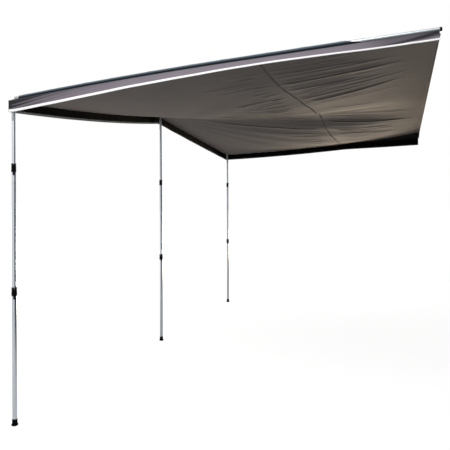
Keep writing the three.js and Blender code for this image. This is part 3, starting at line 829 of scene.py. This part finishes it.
# %% [markdown]
# ## Valances and their bindings
#
# A valance hangs from each free edge. At the front corners it is plumb, and towards the rail
# it swings out, because the rafter's sleeve turns its seam. The right one swings out in its
# middle too. Its shape is found as a hanging strip's: from the top edge down, each small step
# goes on at the angle that the cloth has there. The white tape is folded round the lower edge,
# so its section is a U with the cloth in it, carried along the same hanging shape.

# %% Hanging cloth
valance_drop, hem_drop, cloth_drop = 0.068, 0.053, 0.0669
tape_half, slot_half = 0.00185, 0.00105
stitch_out, stitch_drop = tape_half + 0.0001, hem_drop + 0.0035
drops = np.linspace(0, valance_drop, 35)


def hang(top, out, lean, push):
    """Points and normals of a hanging strip: a row of drops for each place along its top."""
    step = drops[1] - drops[0]
    angles = (lean[:, 1:] + lean[:, :-1]) / 2
    none = np.zeros((len(top), 1))
    shift = np.concatenate([none, np.cumsum(np.sin(angles) * step, axis=1)], axis=1) + push
    fall = np.concatenate([none, np.cumsum(np.cos(angles) * step, axis=1)], axis=1)
    points = top[:, None] + np.asarray(out, float) * shift[..., None]
    points[..., 2] -= fall
    normal = np.cross(np.gradient(points, axis=0), np.gradient(points, axis=1))
    return points, normal / np.linalg.norm(normal, axis=2, keepdims=True)


def at_drop(rows, drop):
    """A row between the rows that were worked out."""
    place = drop / (drops[1] - drops[0])
    low = min(int(place), len(drops) - 2)
    share = place - low
    return rows[:, low] * (1 - share) + rows[:, low + 1] * share


def line_inside(binding, out):
    """Inside, black backing covers the tape on the left half; on the right, painted shade greys
    it.
    """
    binding.data.materials.append(black_backing)
    binding.data.materials.append(tape_in_painted_shade)
    for face in binding.data.polygons:
        if face.normal.dot(out) < -0.7:
            face.material_index = 1 if face.center.x < 0 else 2


def make_valance(name, top, out, lean, push, shade):
    """The strip of cloth, its binding tape, and the lines for the tape's stitches."""
    top[:, 2] -= cloth_thickness / 2 + clearance
    points, normals = hang(top, out, lean, push)
    keep = np.linspace(0, cloth_drop, 25)
    rows = np.stack([at_drop(points, drop) for drop in keep], axis=1)
    # The shade function gives the painted shade down the valance.
    marks = np.clip(np.broadcast_to(shade(keep), rows.shape[:2]), 0, 1)
    cloth = make_sheet(
        name + "_valance_cloth", rows, cloth_thickness, valance_outer, black_backing, marks
    )
    dress(cloth, name + "_valance")

    def beside(side, drop):
        return at_drop(points, drop) + side * at_drop(normals, drop)

    corners = [(-tape_half, hem_drop), (-tape_half, valance_drop)]
    corners += [(tape_half, valance_drop), (tape_half, hem_drop)]
    pocket = cloth_drop + clearance
    section = rounded(corners, 0.0013) + [(slot_half, hem_drop), (slot_half, pocket)]
    section += [(-slot_half, pocket), (-slot_half, hem_drop)]
    rings = np.stack([beside(*place) for place in section], axis=1)
    binding = make_loft(name + "_binding_tape", rings, white_tape, crisp=60)
    line_inside(binding, out)
    dress(binding, name + "_binding")
    print(name, "valance:", len(cloth.data.polygons), "faces")
    return [beside(side * stitch_out, stitch_drop) for side in (1, -1)]


def painted_top_shade(drop):
    """Painted shade under the seam at a valance's top."""
    return 0.3 * np.exp(-drop / 0.004)


# %% The front valance, with the pleats at its right corner
front_x = np.linspace(half_length, -half_length, 801)
front_top = on_roof(front_x, -depth)
front_top[:, 1] = cloth_thickness / 2 - depth
drop_share = np.minimum(drops / hem_drop, 1)
calm = 1 - (front_x / half_length) ** 2
billow = 0.0015 * calm * np.sin(9 * math.pi * front_x / half_length)
billow += 0.0006 * calm * np.sin(23 * front_x + 1.1) * np.sin(41 * front_x)
from_corner = half_length - front_x
pleats = 0.0042 * np.sin(2 * math.pi * from_corner / 0.034) * np.exp(-from_corner / 0.07)
pleats *= blend_in(from_corner, 0, 0.012)
front_push = np.outer(billow + pleats, drop_share)
plumb = np.zeros((len(front_x), len(drops)))
tape_rows = {}
tape_rows["front"] = make_valance(
    "front", front_top, (0, -1, 0), plumb, front_push, painted_top_shade
)

# %% The side valances
side_end = 2.3971


def side_valance(name, flare, crease):
    """A valance that swings out by flare degrees, with the right one's creases or without."""
    side = sides[name]
    ys = np.linspace(-rail_end, -side_end, 481)[::side]
    top = on_roof(side * half_length, ys)
    top[:, 0] = side * (half_length - cloth_thickness / 2)
    swing = blend_in(ys, -side_end, -0.35)
    middle = crease * blend_in(ys, -2.38, -1.5) * (1 - blend_in(ys, -0.9, -0.06))
    creased = crease * blend_in(ys, -0.8, -0.25)
    bent = -0.57 + 1.06 * blend_in(drops, 0.02, 0.036)
    lean = math.radians(flare) * swing[:, None] * (1 + np.outer(creased, bent))
    lean += math.radians(18) * middle[:, None]
    ripple = 0.0035 * crease * hill(ys, -0.12, 0.03)
    ripple += 0.0016 * np.sin(17 * ys) * np.sin(5 * ys + 0.6) * blend_in(-ys, 0, 0.3)
    corner = side_end + ys
    if side > 0:
        ripple += 0.0035 * np.sin(2 * math.pi * corner / 0.03) * np.exp(-corner / 0.05)
    push = np.outer(ripple * blend_in(corner, 0, 0.02), drop_share)

    def shade(drop):
        """Painted shade in the pleats at the front corner and along the slanting fold at the rail.
        """
        from_leg, at_rail = corner[:, None], ys[:, None]
        # Painted shade in stripes across the pleats near the front corner, darkest at the corner
        # and near the top.
        pleat_shade = 0.5 + 0.5 * np.cos(2 * math.pi * (drop / 0.02 + from_leg / 0.25))
        pleats = 1.1 * np.exp(-from_leg / 0.22) * pleat_shade + np.exp(-from_leg / 0.015)
        pleats += 1.1 * np.exp(-from_leg / 0.35 - drop / 0.03)
        # Painted shade along a slanting fold near the rail, and over the cloth above it.
        fold = 0.055 + (at_rail + 0.24) * (0.015 - 0.055) / 0.22
        fold_shade = 0.85 * hill(drop, fold, 0.014) + 0.45 * (drop < fold)
        fold_shade *= crease * blend_in(at_rail, -0.36, -0.2)
        return painted_top_shade(drop) + np.maximum((side > 0) * pleats, fold_shade)

    return make_valance(name, top, (side, 0, 0), lean, push, shade)


tape_rows["right"] = side_valance("right", 35, 1.0)
tape_rows["left"] = side_valance("left", 15, 0.0)

# %% [markdown]
# ## Sleeves
#
# Each rafter lies in a sleeve of navy cloth that is sewn to the roof's edge. Its section is a
# circle with a tail that runs down to the seam, like a drop lying on its side. It is carried
# along the rafter's own bent line. Small slanting folds, where the cloth is pulled round the
# tube, break up the highlight along it. The top of the sleeve is painted lighter: a painted
# highlight.

# %% The sleeves along the rafters
tube_outer, tube_inner, tube_wall = 0.011, 0.0095, 0.0012
sleeve_bore, sleeve_round, sleeve_front = 0.0113, 0.0125, 2.33
sleeve_ply, fold_height, slant_depth, slant_reach = 0.0006, 0.0006, 0.07, 0.25
sleeve_rear = {"right": bare, "left": droop_depth}
seam_tail = [(0.008, -0.01262), (0.0135, -0.01262), (0.0186, -0.0126), (0.0189, -0.0118)]
seam_tail += [(0.0158, -0.0035)]


def across_rafter(side, distance, section):
    """A ring of section points (outwards, up) round a rafter, square to it."""
    ahead, behind = rafter_height(side, distance + 0.001), rafter_height(side, distance - 0.001)
    slope = float(ahead - behind) / 0.002
    size = math.hypot(1, slope)
    up = np.array([0, slope / size, 1 / size])
    centre = np.array([side * rafter_x, -distance, float(rafter_height(side, distance))])
    return [centre + np.array([side * out, 0, 0]) + rise * up for out, rise in section]


def make_sleeve(name):
    side, rear = sides[name], sleeve_rear[name]
    rest = np.linspace(rear + 0.012, sleeve_front, 300)
    turns = np.radians(np.linspace(33.8, 269.7, 36))
    rings, bore = [], []
    for distance in (rear, rear + 0.004, *rest):
        fold = np.sin(2 * math.pi * distance / 0.21 + 1.7 * turns)
        fold += 0.5 * np.sin(2 * math.pi * distance / 0.083 - 2.3 * turns + 1)
        doubled = sleeve_ply * (distance < rear + 0.011)
        radius = sleeve_round + doubled
        radius += fold_height * np.clip(fold, 0, None) ** 2 * np.sin(turns) ** 2
        radius = np.where(turns > math.radians(225), sleeve_round, radius)
        section = [(r * math.cos(t), r * math.sin(t)) for r, t in zip(radius, turns)] + seam_tail
        aims = [math.atan2(rise, out) for out, rise in section]
        inner = arc(sleeve_bore, aims)
        # The rear end is cut at a slant: the top starts further from the wall.
        slant = slant_depth * max(0, 1 - (distance - rear) / slant_reach)
        ends = [distance + slant * blend_in(rise, -0.0126, 0.0126) for _, rise in section]
        for held, outline in ((rings, section), (bore, inner)):
            held.append(
                [across_rafter(side, float(end), [p])[0] for end, p in zip(ends, outline)]
            )
    sleeve = make_loft(name + "_sleeve_cloth", rings, sleeve_cloth, bore=bore, crisp=50)
    # The top of the sleeve is painted lighter, as a painted highlight.
    painted_highlight = [blend_in(rise, 0.004, 0.0105) for _, rise in section]
    store_painted_light(sleeve, [painted_highlight] * (2 * len(rings)))
    dress(sleeve, name + "_rafter_sleeve")
    print(name, "sleeve:", len(sleeve.data.polygons), "faces")


for name in sides:
    make_sleeve(name)

# %% [markdown]
# ## Rafters
#
# A rafter is two tubes, one sliding in the other. The thin one reaches the wall and ends in a
# rubber pad, and at the front the thick one ends in an eye that drops over the leg's pin. The
# frame has the tubes with sixteen flat sides, so they are drawn again as round tubes with a
# small chamfer at their ends.

# %% Rafter tubes


def round_tube(name, side, places, outer):
    """A tube along a rafter, with a small chamfer at both ends."""
    chamfer, turns = 0.0003, 2 * math.pi * np.arange(40) / 40
    first, last = places[0], places[-1]
    places = [first, first + chamfer, *places[1:-1], last - chamfer, last]
    radii = [outer - chamfer, *[outer] * (len(places) - 2), outer - chamfer]
    rings = [across_rafter(side, place, arc(r, turns)) for place, r in zip(places, radii)]
    hole = arc(outer - tube_wall, turns)
    bore = [across_rafter(side, place, hole) for place in places]
    return make_loft(name, rings, rafter_aluminium, bore=bore)


for name, side in sides.items():
    for kind, places, outer in (
        ("outer", np.linspace(bare - 0.03, flat_front, 60), tube_outer),
        ("inner", [0.002, 0.1, 0.3, 0.55], tube_inner),
    ):
        tube = round_tube(f"{name}_{kind}_rafter", side, places, outer)
        dress(tube, f"{name}_rafter_{kind}_tube")
    plug = frame["nodes"][name + "_rafter_cam_plug"].data
    plug.materials.clear()
    plug.materials.append(black_nylon)
print("rafters made")

# %% [markdown]
# ## Adding and cutting solids
#
# Clamps, levers and the rafter eyes are made of simple bodies that are joined and drilled. A
# Boolean modifier does both. Its result is kept as a mesh, and a small live bevel takes the
# sharpness off the edges, as a mould or a file would.

# %% Joining and drilling


def machined(name, base, steps, finish, soften):
    """A body with others added to it or cut from it. Each body is its points and faces."""
    whole = make_piece(name, *base, [finish])
    helpers = []
    for action, points, faces in steps:
        helper = make_piece(name + "_helper", points, faces, [finish])
        helper.hide_render = True
        helpers.append(helper)
        cut = whole.modifiers.new(action, "BOOLEAN")
        cut.operation, cut.solver, cut.object = action, "MANIFOLD", helper
    mesh = settled(whole, name)
    whole.modifiers.clear()
    whole.data = mesh
    for helper in helpers:
        bpy.data.objects.remove(helper)
    mesh.shade_smooth()
    mesh.set_sharp_from_angle(angle=math.radians(35))
    edge = whole.modifiers.new("softened edges", "BEVEL")
    edge.width, edge.segments, edge.limit_method = soften, 2, "ANGLE"
    edge.angle_limit = math.radians(40)
    return whole


def placed(body, place):
    """A body whose points are moved by place, which turns (u, v, w) into a point."""
    points, faces = body
    return np.array([place(*point) for point in points]), faces


def plate(outline, low, high, place):
    """A flat outline (u, v) given a thickness, from low to high."""
    count = len(outline)
    points = [place(u, v, height) for height in (low, high) for u, v in outline]
    faces = [list(range(count))[::-1], list(range(count, 2 * count))]
    faces += [[i, (i + 1) % count, count + (i + 1) % count, count + i] for i in range(count)]
    return np.array(points), faces


def pin_body(radius, half, place, tip=0.0006):
    """A pin with chamfered ends, from -half to half along its own axis."""
    profile = [(0, -half), (radius - tip, -half), (radius, -half + tip)]
    profile += [(radius, half - tip), (radius - tip, half), (0, half)]
    return placed(spun(profile, 24), place)


def turned(name, node, profile, soften, finish, place, sides=48, closed=False, crisp=35):
    """A turned piece in the place of a node."""
    body = placed(spun(rounded(profile, soften, closed), sides, closed), place)
    return dress(make_piece(name, *body, [finish], crisp=crisp), node)


# %% [markdown]
# ## Rafter ends
#
# The eye's plug sits in the tube, and its flat tongue lies over the eyelet with the leg's pin
# through it. The pad is a turned rubber stopper with a rounded face.

# %% Eyes, pads and eyelets
tongue_half, tongue_thickness, tongue_over_roof = 0.009, 0.004, 0.00235


def shifted(x, y, z):
    return lambda u, v, w: (x + u, y + v, z + w)


def on_rafter(side, distance, slope):
    """Turns a point of a turned part into its place: its Z runs up the rafter to the wall."""
    centre = np.array([side * rafter_x, -distance, float(rafter_height(side, distance))])
    ahead = np.array([0, 1, slope]) / math.hypot(1, slope)
    over = np.array([0, ahead[2], -ahead[1]])
    return lambda u, v, w: centre + np.array([u, 0, 0]) + v * over + w * ahead


def rafter_eye(name, side):
    x = side * rafter_x
    near, far = rafter_height(side, flat_front - 0.05), rafter_height(side, flat_front)
    profile = [(0, -0.004), (0.011, -0.004), (0.011, -0.0003), (0.0095, -0.0003)]
    profile += [(0.0095, 0.04), (0, 0.04)]
    along = on_rafter(side, flat_front, float(near - far) / 0.05)
    plug = placed(spun(rounded(profile, 0.0008), 40), along)
    seat = float(main_shape(x, leg_y)) + tongue_over_roof
    outline = arc(tongue_half, np.linspace(math.pi, 2 * math.pi, 25), (x, leg_y))
    outline += [(x + tongue_half, -flat_front), (x - tongue_half, -flat_front)]
    tongue = plate(outline, seat, seat + tongue_thickness, shifted(0, 0, 0))
    hole = pin_body(0.0043, 0.01, shifted(x, leg_y, seat + tongue_thickness / 2), 0)
    steps = [("UNION", *tongue), ("DIFFERENCE", *hole)]
    dress(machined(name + "_eye", plug, steps, grey_nylon, 0.0005), name + "_rafter_eye")


pad_profile = [(0, -0.025), (0.008, -0.025), (0.008, 0.0003), (0.0095, 0.0003)]
pad_profile += [(0.0095, 0.0075), (0.0078, 0.0097), (0.0055, 0.01), (0, 0.01)]
for name, side in sides.items():
    rafter_eye(name, side)
    wall_end = on_rafter(side, 0.002, slope_right if side > 0 else slope_left)
    node = name + "_wall_pad"
    turned(name + "_rubber_pad", node, pad_profile, 0.0012, foot_rubber, wall_end, 40)

flange = [(0.005, 0.00205), (0.0062, 0.00225), (0.0098, 0.00205), (0.011, 0.00135)]
flange += [(0.0108, 0.00105), (0.0067, 0.00105)]
washer = [(radius, -height) for radius, height in flange] + flange[::-1]
for name, x in leg_places.items():
    seat = shifted(x, leg_y, float(main_shape(x, leg_y)))
    eyelet, node = name + "_plated_eyelet", name + "_eyelet"
    turned(eyelet, node, washer, 0.0003, plated_steel, seat, 40, closed=True)
print("rafter ends and eyelets made")

# %% [markdown]
# ## Telescopic legs
#
# Each leg has three tubes that slide in each other, a rubber foot, two clamps with cam levers,
# and a tapered cap with the pin that goes up through the roof. All three legs are made by the
# same function, and heights are read from the frame, because the centre leg is pulled out
# further. The levers ride on bodies of their own, so that they can open.

# %% Parts of a leg
leg_turn = math.radians(40)
tube_radii = {"lower": 0.014, "middle": 0.01225, "upper": 0.0105}
stop_radii = {"lower": 0.014, "middle": 0.0127, "upper": 0.01095}
leg_wall = 0.001


def on_leg(x, height):
    """Turns a point of a leg's own frame into its place."""
    cos, sin = math.cos(leg_turn), math.sin(leg_turn)
    return lambda u, v, w: (x + u * cos - v * sin, leg_y + u * sin + v * cos, height + w)


def stand(node):
    """The height at which a node of the frame begins, and how tall it is."""
    low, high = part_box(node)
    return low.z, high.z - low.z


def leg_tube(name, level, x):
    """A tube, with a ring at its lower end that stops it in the tube below."""
    node, radius, stop = f"{name}_{level}_tube", tube_radii[level], stop_radii[level]
    low, top = stand(node)
    bore = radius - leg_wall
    profile = [(bore, 0), (stop, 0)]
    if stop > radius:
        profile += [(stop, 0.012), (radius, 0.012)]
    profile += [(radius, top), (bore, top)]
    tube, place = f"{name}_{level}_leg_tube", on_leg(x, low)
    turned(tube, node, profile, 0.0003, leg_aluminium, place, closed=True)


def leg_foot(name, x):
    """A flared foot with three grooves round its neck, and a deep hole for the tube."""
    neck, groove, hole = 0.0156, 0.015, 0.0143
    profile = [(0, 0), (0.013, 0), (0.01804, 0.002), (0.02, 0.006), (0.02, 0.01)]
    profile += [(0.01545, 0.0155), (neck, 0.024)]
    for level in (0.026, 0.0305, 0.035):
        profile += [(neck, level), (groove, level + 0.0005)]
        profile += [(groove, level + 0.0015), (neck, level + 0.002)]
    profile += [(neck, 0.041), (hole, 0.041), (hole, 0.012), (0, 0.012)]
    node = name + "_foot"
    place = on_leg(x, stand(node)[0])
    turned(name + "_rubber_foot", node, profile, 0.0012, foot_rubber, place, crisp=50)


def leg_cap(name, x):
    """A tapered cap, whose plug sits in the upper tube, and the pin in its top."""
    node = name + "_top_cap"
    low, top = stand(node)
    profile = [(0, 0), (0.0092, 0), (0.0092, 0.04), (0.0111, 0.04), (0.0111, top - 0.048)]
    profile += [(0.007, top), (0.0043, top), (0.0043, top - 0.03), (0, top - 0.03)]
    turned(name + "_nylon_cap", node, profile, 0.001, cap_nylon, on_leg(x, low))
    node = name + "_spigot"
    low, long = stand(node)
    profile = [(0, 0), (0.004, 0), (0.004, long - 0.002), (0.0022, long - 0.0002), (0, long)]
    turned(name + "_pin", node, profile, 0.0008, plated_steel, on_leg(x, low), 32)


# %% Clamps and levers
collar_height, collar_neck, collar_wall = 0.052, 0.022, 0.002
ear_y, ear_width, lever_half = 0.006, 0.0032, 0.0057
pin_radius, pin_hole, cam_radius = 0.002, 0.0023, 0.0043


def leg_clamp(name, level, x):
    """The collar sits on a tube's top and grips the tube above it, when its lever is shut."""
    above = {"lower": "middle", "upper": "upper"}[level]
    below = {"lower": "lower", "upper": "middle"}[level]
    outer, inner = tube_radii[below] + clearance, tube_radii[above] + clearance
    place = on_leg(x, stand(f"{name}_{level}_collar")[0])
    outside, shoulder = tube_radii[below] + collar_wall, collar_height - collar_neck
    waist = outside - 0.0005
    pin_x, pin_z = outside + 0.0046, 0.041

    def upright(u, v, w):
        return place(u, w, v)

    def on_pin(u, v, w):
        return place(pin_x + u, w, pin_z + v)

    profile = [(outer, 0), (outside, 0), (outside, shoulder - 0.002), (waist, shoulder)]
    profile += [(waist, collar_height - 0.007), (outside, collar_height - 0.006)]
    profile += [(outside, collar_height), (inner, collar_height), (inner, shoulder)]
    profile += [(outer, shoulder)]
    bush = placed(spun(rounded(profile, 0.0006, closed=True), closed=True), place)
    ear = [(outside - 0.0015, 0.0315), (outside + 0.007, 0.0335), (outside + 0.009, pin_z)]
    ear += [(outside + 0.0085, 0.0505), (outside - 0.0015, 0.0505)]
    ear = rounded(ear, 0.0022, closed=True)
    steps = [
        ("UNION", *plate(ear, start, start + ear_width, upright))
        for start in (-ear_y - ear_width, ear_y)
    ]
    for height in (0.006, 0.0115, 0.017):
        rib = [(outside - 0.0008, height), (outside + 0.0004, height + 0.0008)]
        rib += [(outside + 0.0004, height + 0.0018), (outside - 0.0008, height + 0.0026)]
        steps.append(("UNION", *placed(spun(rib, closed=True), place)))
    slit = [(0, -0.0015), (outside + 0.002, -0.0015), (outside + 0.002, 0.0015), (0, 0.0015)]
    slit = plate(slit, shoulder - 0.006, collar_height + 0.002, place)
    steps += [("DIFFERENCE", *slit), ("DIFFERENCE", *pin_body(pin_hole, 0.012, on_pin, 0))]
    collar = machined(f"{name}_{level}_clamp", bush, steps, black_nylon, 0.00035)
    dress(collar, f"{name}_{level}_collar")

    start, end = outside + 0.001, outside + 0.0046
    outline = arc(cam_radius, np.linspace(math.pi, 0, 15), (pin_x, pin_z))
    arm = [(pin_x + cam_radius, pin_z - cam_radius), (end + 0.0006, pin_z - 0.0115)]
    arm += [(end, 0.018), (end, -0.005), (end + 0.0024, -0.018), (start + 0.0024, -0.018)]
    arm += [(start, -0.005), (start, pin_z - 0.006)]
    outline += rounded([outline[-1], *arm, outline[0]], 0.004)[1:-1]
    lever = plate(outline, -lever_half, lever_half, upright)
    drill = [("DIFFERENCE", *pin_body(pin_hole, 0.008, on_pin, 0))]
    lever = machined(f"{name}_{level}_cam_lever", lever, drill, black_nylon, 0.0009)
    dress(lever, f"{name}_{level}_lever")

    pin = pin_body(pin_radius, 0.01, on_pin, 0.0007)
    pin = make_piece(f"{name}_{level}_clamp_pin", *pin, [plated_steel])
    dress(pin, f"{name}_{level}_lever_pin")


for name, x in leg_places.items():
    for level in tube_radii:
        leg_tube(name, level, x)
    leg_foot(name, x)
    leg_cap(name, x)
    for level in ("lower", "upper"):
        leg_clamp(name, level, x)
print("legs made")

# %% [markdown]
# ## Stitches and punch marks
#
# Stitches repeat along lines and punch marks repeat round a tube, so one Geometry Nodes tree
# makes both: it walks along the given lines at a pitch and puts a small rounded body at each
# step, turned along the line. The body is an icosahedron with only twenty faces, because there
# are thousands of them. Threads are about 0.3 mm thick, drawn here at 0.9 mm so that a row
# shows as a row.

# %% A tree that repeats a small body along lines


def row_tree():
    names = {"Pitch": 0.006, "Length": 0.004, "Thickness": 0.0009}
    inputs = {label: ("NodeSocketFloat", value) for label, value in names.items()}
    tree, given, line = new_tree("bodies along lines", inputs)
    walk = {"Curve": line, "Length": given["Pitch"]}
    spots = add_node(tree, "GeometryNodeCurveToPoints", walk, mode="LENGTH").outputs
    way = {"Vector": spots["Tangent"]}
    turn = add_node(tree, "FunctionNodeAlignRotationToVector", way, axis="Z").outputs[0]
    extents = {"X": given["Thickness"], "Y": given["Thickness"], "Z": given["Length"]}
    size = add_node(tree, "ShaderNodeCombineXYZ", extents).outputs[0]
    body = add_node(tree, "GeometryNodeMeshIcoSphere", {"Radius": 0.5, "Subdivisions": 1})
    put = {"Points": spots["Points"], "Instance": body.outputs["Mesh"]}
    put |= {"Rotation": turn, "Scale": size}
    return end_tree(tree, given, add_node(tree, "GeometryNodeInstanceOnPoints", put))


rows = row_tree()
stitch = {"Pitch": 0.006, "Length": 0.0044, "Thickness": 0.0009}
dark, white = {**stitch, "Finish": dark_thread}, {**stitch, "Finish": white_thread}

# %% Rows of stitches on the cloth
long_x = np.linspace(-1.99, 1.99, 500)
seam_rows = [
    on_roof(long_x, seam_y(long_x) + shift, lift)
    for shift in (-0.004, 0.004)
    for lift in (-0.0016, 0.0016)
]
hem_rows = [on_roof(long_x, -0.026, lift) for lift in (-0.0019, 0.0009)]
seam_stitches = trim(grow("seam_stitches", rows, seam_rows, dark), "roof_sheet")
hem_stitches = trim(grow("hem_stitches", rows, hem_rows, dark), "roof_sheet")
for name, tape_row in tape_rows.items():
    trim(grow(name + "_binding_stitches", rows, tape_row, white), name + "_binding")

on_tail = [(0.0176, -0.0076)]
for name, side in sides.items():
    places = np.linspace(sleeve_rear[name] + 0.005, sleeve_front - 0.005, 200)
    tail = [across_rafter(side, place, on_tail)[0] for place in places]
    trim(grow(name + "_sleeve_stitches", rows, [tail], dark), name + "_rafter_sleeve")
print("stitches:", len(seam_stitches.data.polygons) // 20, "on the seam")

# %% Punch marks below the lower clamps
mark_ring = 0.0139
turns = np.linspace(0, 2 * math.pi, 49)
pitch = 2 * math.pi * mark_ring / 8 * 0.999
marks = {"Pitch": pitch, "Length": 0.0032, "Thickness": 0.001, "Finish": grey_nylon}
for name, x in leg_places.items():
    low = stand(name + "_lower_collar")[0]
    around = arc(mark_ring, turns, (x, leg_y))
    rings = [[(*point, low - below) for point in around] for below in (0.007, 0.018)]
    trim(grow(name + "_punch_marks", rows, rings, marks), name + "_lower_tube")
print("punch marks on", len(leg_places), "legs")

# %% [markdown]
# ## Camera
#
# The picture was taken from beside the canopy, a little below its roof, with the camera level
# and turned by about nineteen degrees towards the front. Its place and its lens were solved
# from the legs and edges of the frame. A small vertical shift stands for the crop.

# %% The camera
eye_place = (4.4916, -0.1534, -0.7555)
facing, level = np.array([-0.944, -0.330, 0.0]), np.array([-0.330, 0.944, 0.0])
facing, level = facing / np.linalg.norm(facing), level / np.linalg.norm(level)
roll = math.radians(-0.237)
upright = np.array([0.0, 0.0, 1.0])
right_of = math.cos(roll) * level + math.sin(roll) * upright
up_of = math.cos(roll) * upright - math.sin(roll) * level
lens = bpy.data.cameras.new("photo lens")
lens.lens, lens.sensor_width, lens.shift_y, lens.clip_end = 41.203, 36.0, -0.0556, 200
camera = add_object("photo camera", lens)
turn = Matrix([right_of, up_of, -facing]).transposed().to_4x4()
camera.matrix_world = Matrix.Translation(eye_place) @ turn
bpy.context.scene.camera = camera
bpy.context.scene.view_settings.view_transform = "Standard"
print("camera at", eye_place)

# %% [markdown]
# ## Floor, world and lamps
#
# The floor is pale and keeps the canopy's shadow. To the camera it is raised with a little
# glow of its own, so that it meets the white background without an edge. The world is white
# to the camera and in reflections, and softer as a light. A large warm lamp stands low behind
# the far end and rakes along the underside, which draws the wrinkles. A smaller white one
# stands high on the near side and lights the valances. A dark card where the caravan's side
# would be shows in reflections only.

# %% The floor and the card


def stage_plane(name, corners, finish):
    """A flat rectangle of the studio."""
    mesh = bpy.data.meshes.new(name)
    mesh.from_pydata(corners, [], [(0, 1, 2, 3)])
    mesh.materials.append(finish)
    plane = add_object(name, mesh)
    return plane


def floor_finish():
    material, tree = blank_material("pale matt floor")
    path = add_node(tree, "ShaderNodeLightPath").outputs["Is Camera Ray"]
    paint = add_node(tree, "ShaderNodeBsdfDiffuse", {"Color": colour("#f2f2f2")}).outputs[0]
    seen = add_node(tree, "ShaderNodeBsdfDiffuse", {"Color": colour("#8c8c8c")}).outputs[0]
    glow = add_node(tree, "ShaderNodeEmission", {"Strength": 0.88}).outputs[0]
    raised = add_node(tree, "ShaderNodeAddShader", {0: seen, 1: glow}).outputs[0]
    chosen = add_node(tree, "ShaderNodeMixShader", {0: path, 1: paint, 2: raised}).outputs[0]
    add_node(tree, "ShaderNodeOutputMaterial", {"Surface": chosen})
    return material


def card_finish():
    material, tree = blank_material("dark studio card")
    paint = add_node(tree, "ShaderNodeBsdfDiffuse", {"Color": colour("#3c4a54")}).outputs[0]
    add_node(tree, "ShaderNodeOutputMaterial", {"Surface": paint})
    return material


size, ground = 60.0, -2.1102
floor_corners = [(-size, -size), (size, -size), (size, size), (-size, size)]
stage_plane("stage_floor", [(*corner, ground) for corner in floor_corners], floor_finish())
card_corners = [(-8, 0.5, -2.1), (4.3, 0.5, -2.1), (4.3, 0.5, 0.6), (-8, 0.5, 0.6)]
stage_plane("wall_card", card_corners, card_finish()).visible_camera = False
print("floor at", ground)

# %% The world and the lamps
world = bpy.data.worlds.new("studio")
bpy.context.scene.world = world
world.use_nodes = True
sky = world.node_tree
sky.nodes.clear()
path = add_node(sky, "ShaderNodeLightPath").outputs
shown = path["Is Camera Ray"]
for kind in ("Is Glossy Ray", "Is Transmission Ray"):
    shown = add_node(sky, "ShaderNodeMath", {0: shown, 1: path[kind]}, operation="MAXIMUM")
    shown = shown.outputs[0]
levels = {"Value": shown, "To Min": 0.8, "To Max": 1.0}
strength = add_node(sky, "ShaderNodeMapRange", levels).outputs[0]
light = {"Color": colour("#ffffff"), "Strength": strength}
backdrop = add_node(sky, "ShaderNodeBackground", light).outputs[0]
add_node(sky, "ShaderNodeOutputWorld", {"Surface": backdrop})


def lamp(name, place, target, size, power, tint):
    """A round lamp that faces its target."""
    light = bpy.data.lights.new(name, "AREA")
    light.color = colour(tint)[:3]
    light.shape, light.size, light.energy = "DISK", size, power
    obj = add_object(name, light)
    direction = np.array(target, float) - np.array(place, float)
    side_way = np.cross(direction, [0, 0, 1])
    side_way /= np.linalg.norm(side_way)
    back = -direction / np.linalg.norm(direction)
    axes = Matrix([side_way, np.cross(back, side_way), back]).transposed().to_4x4()
    obj.matrix_world = Matrix.Translation(place) @ axes
    obj.visible_camera = False


lamp("far low lamp", (-11.0, -1.0, -1.9), (-0.3, -0.9, -0.1), 2.5, 1150, "#ffe9cc")
lamp("high near lamp", (6.0, -2.0, 4.0), (1.5, -1.2, 0.0), 3.0, 200, "#ffffff")
print("stage is lit")
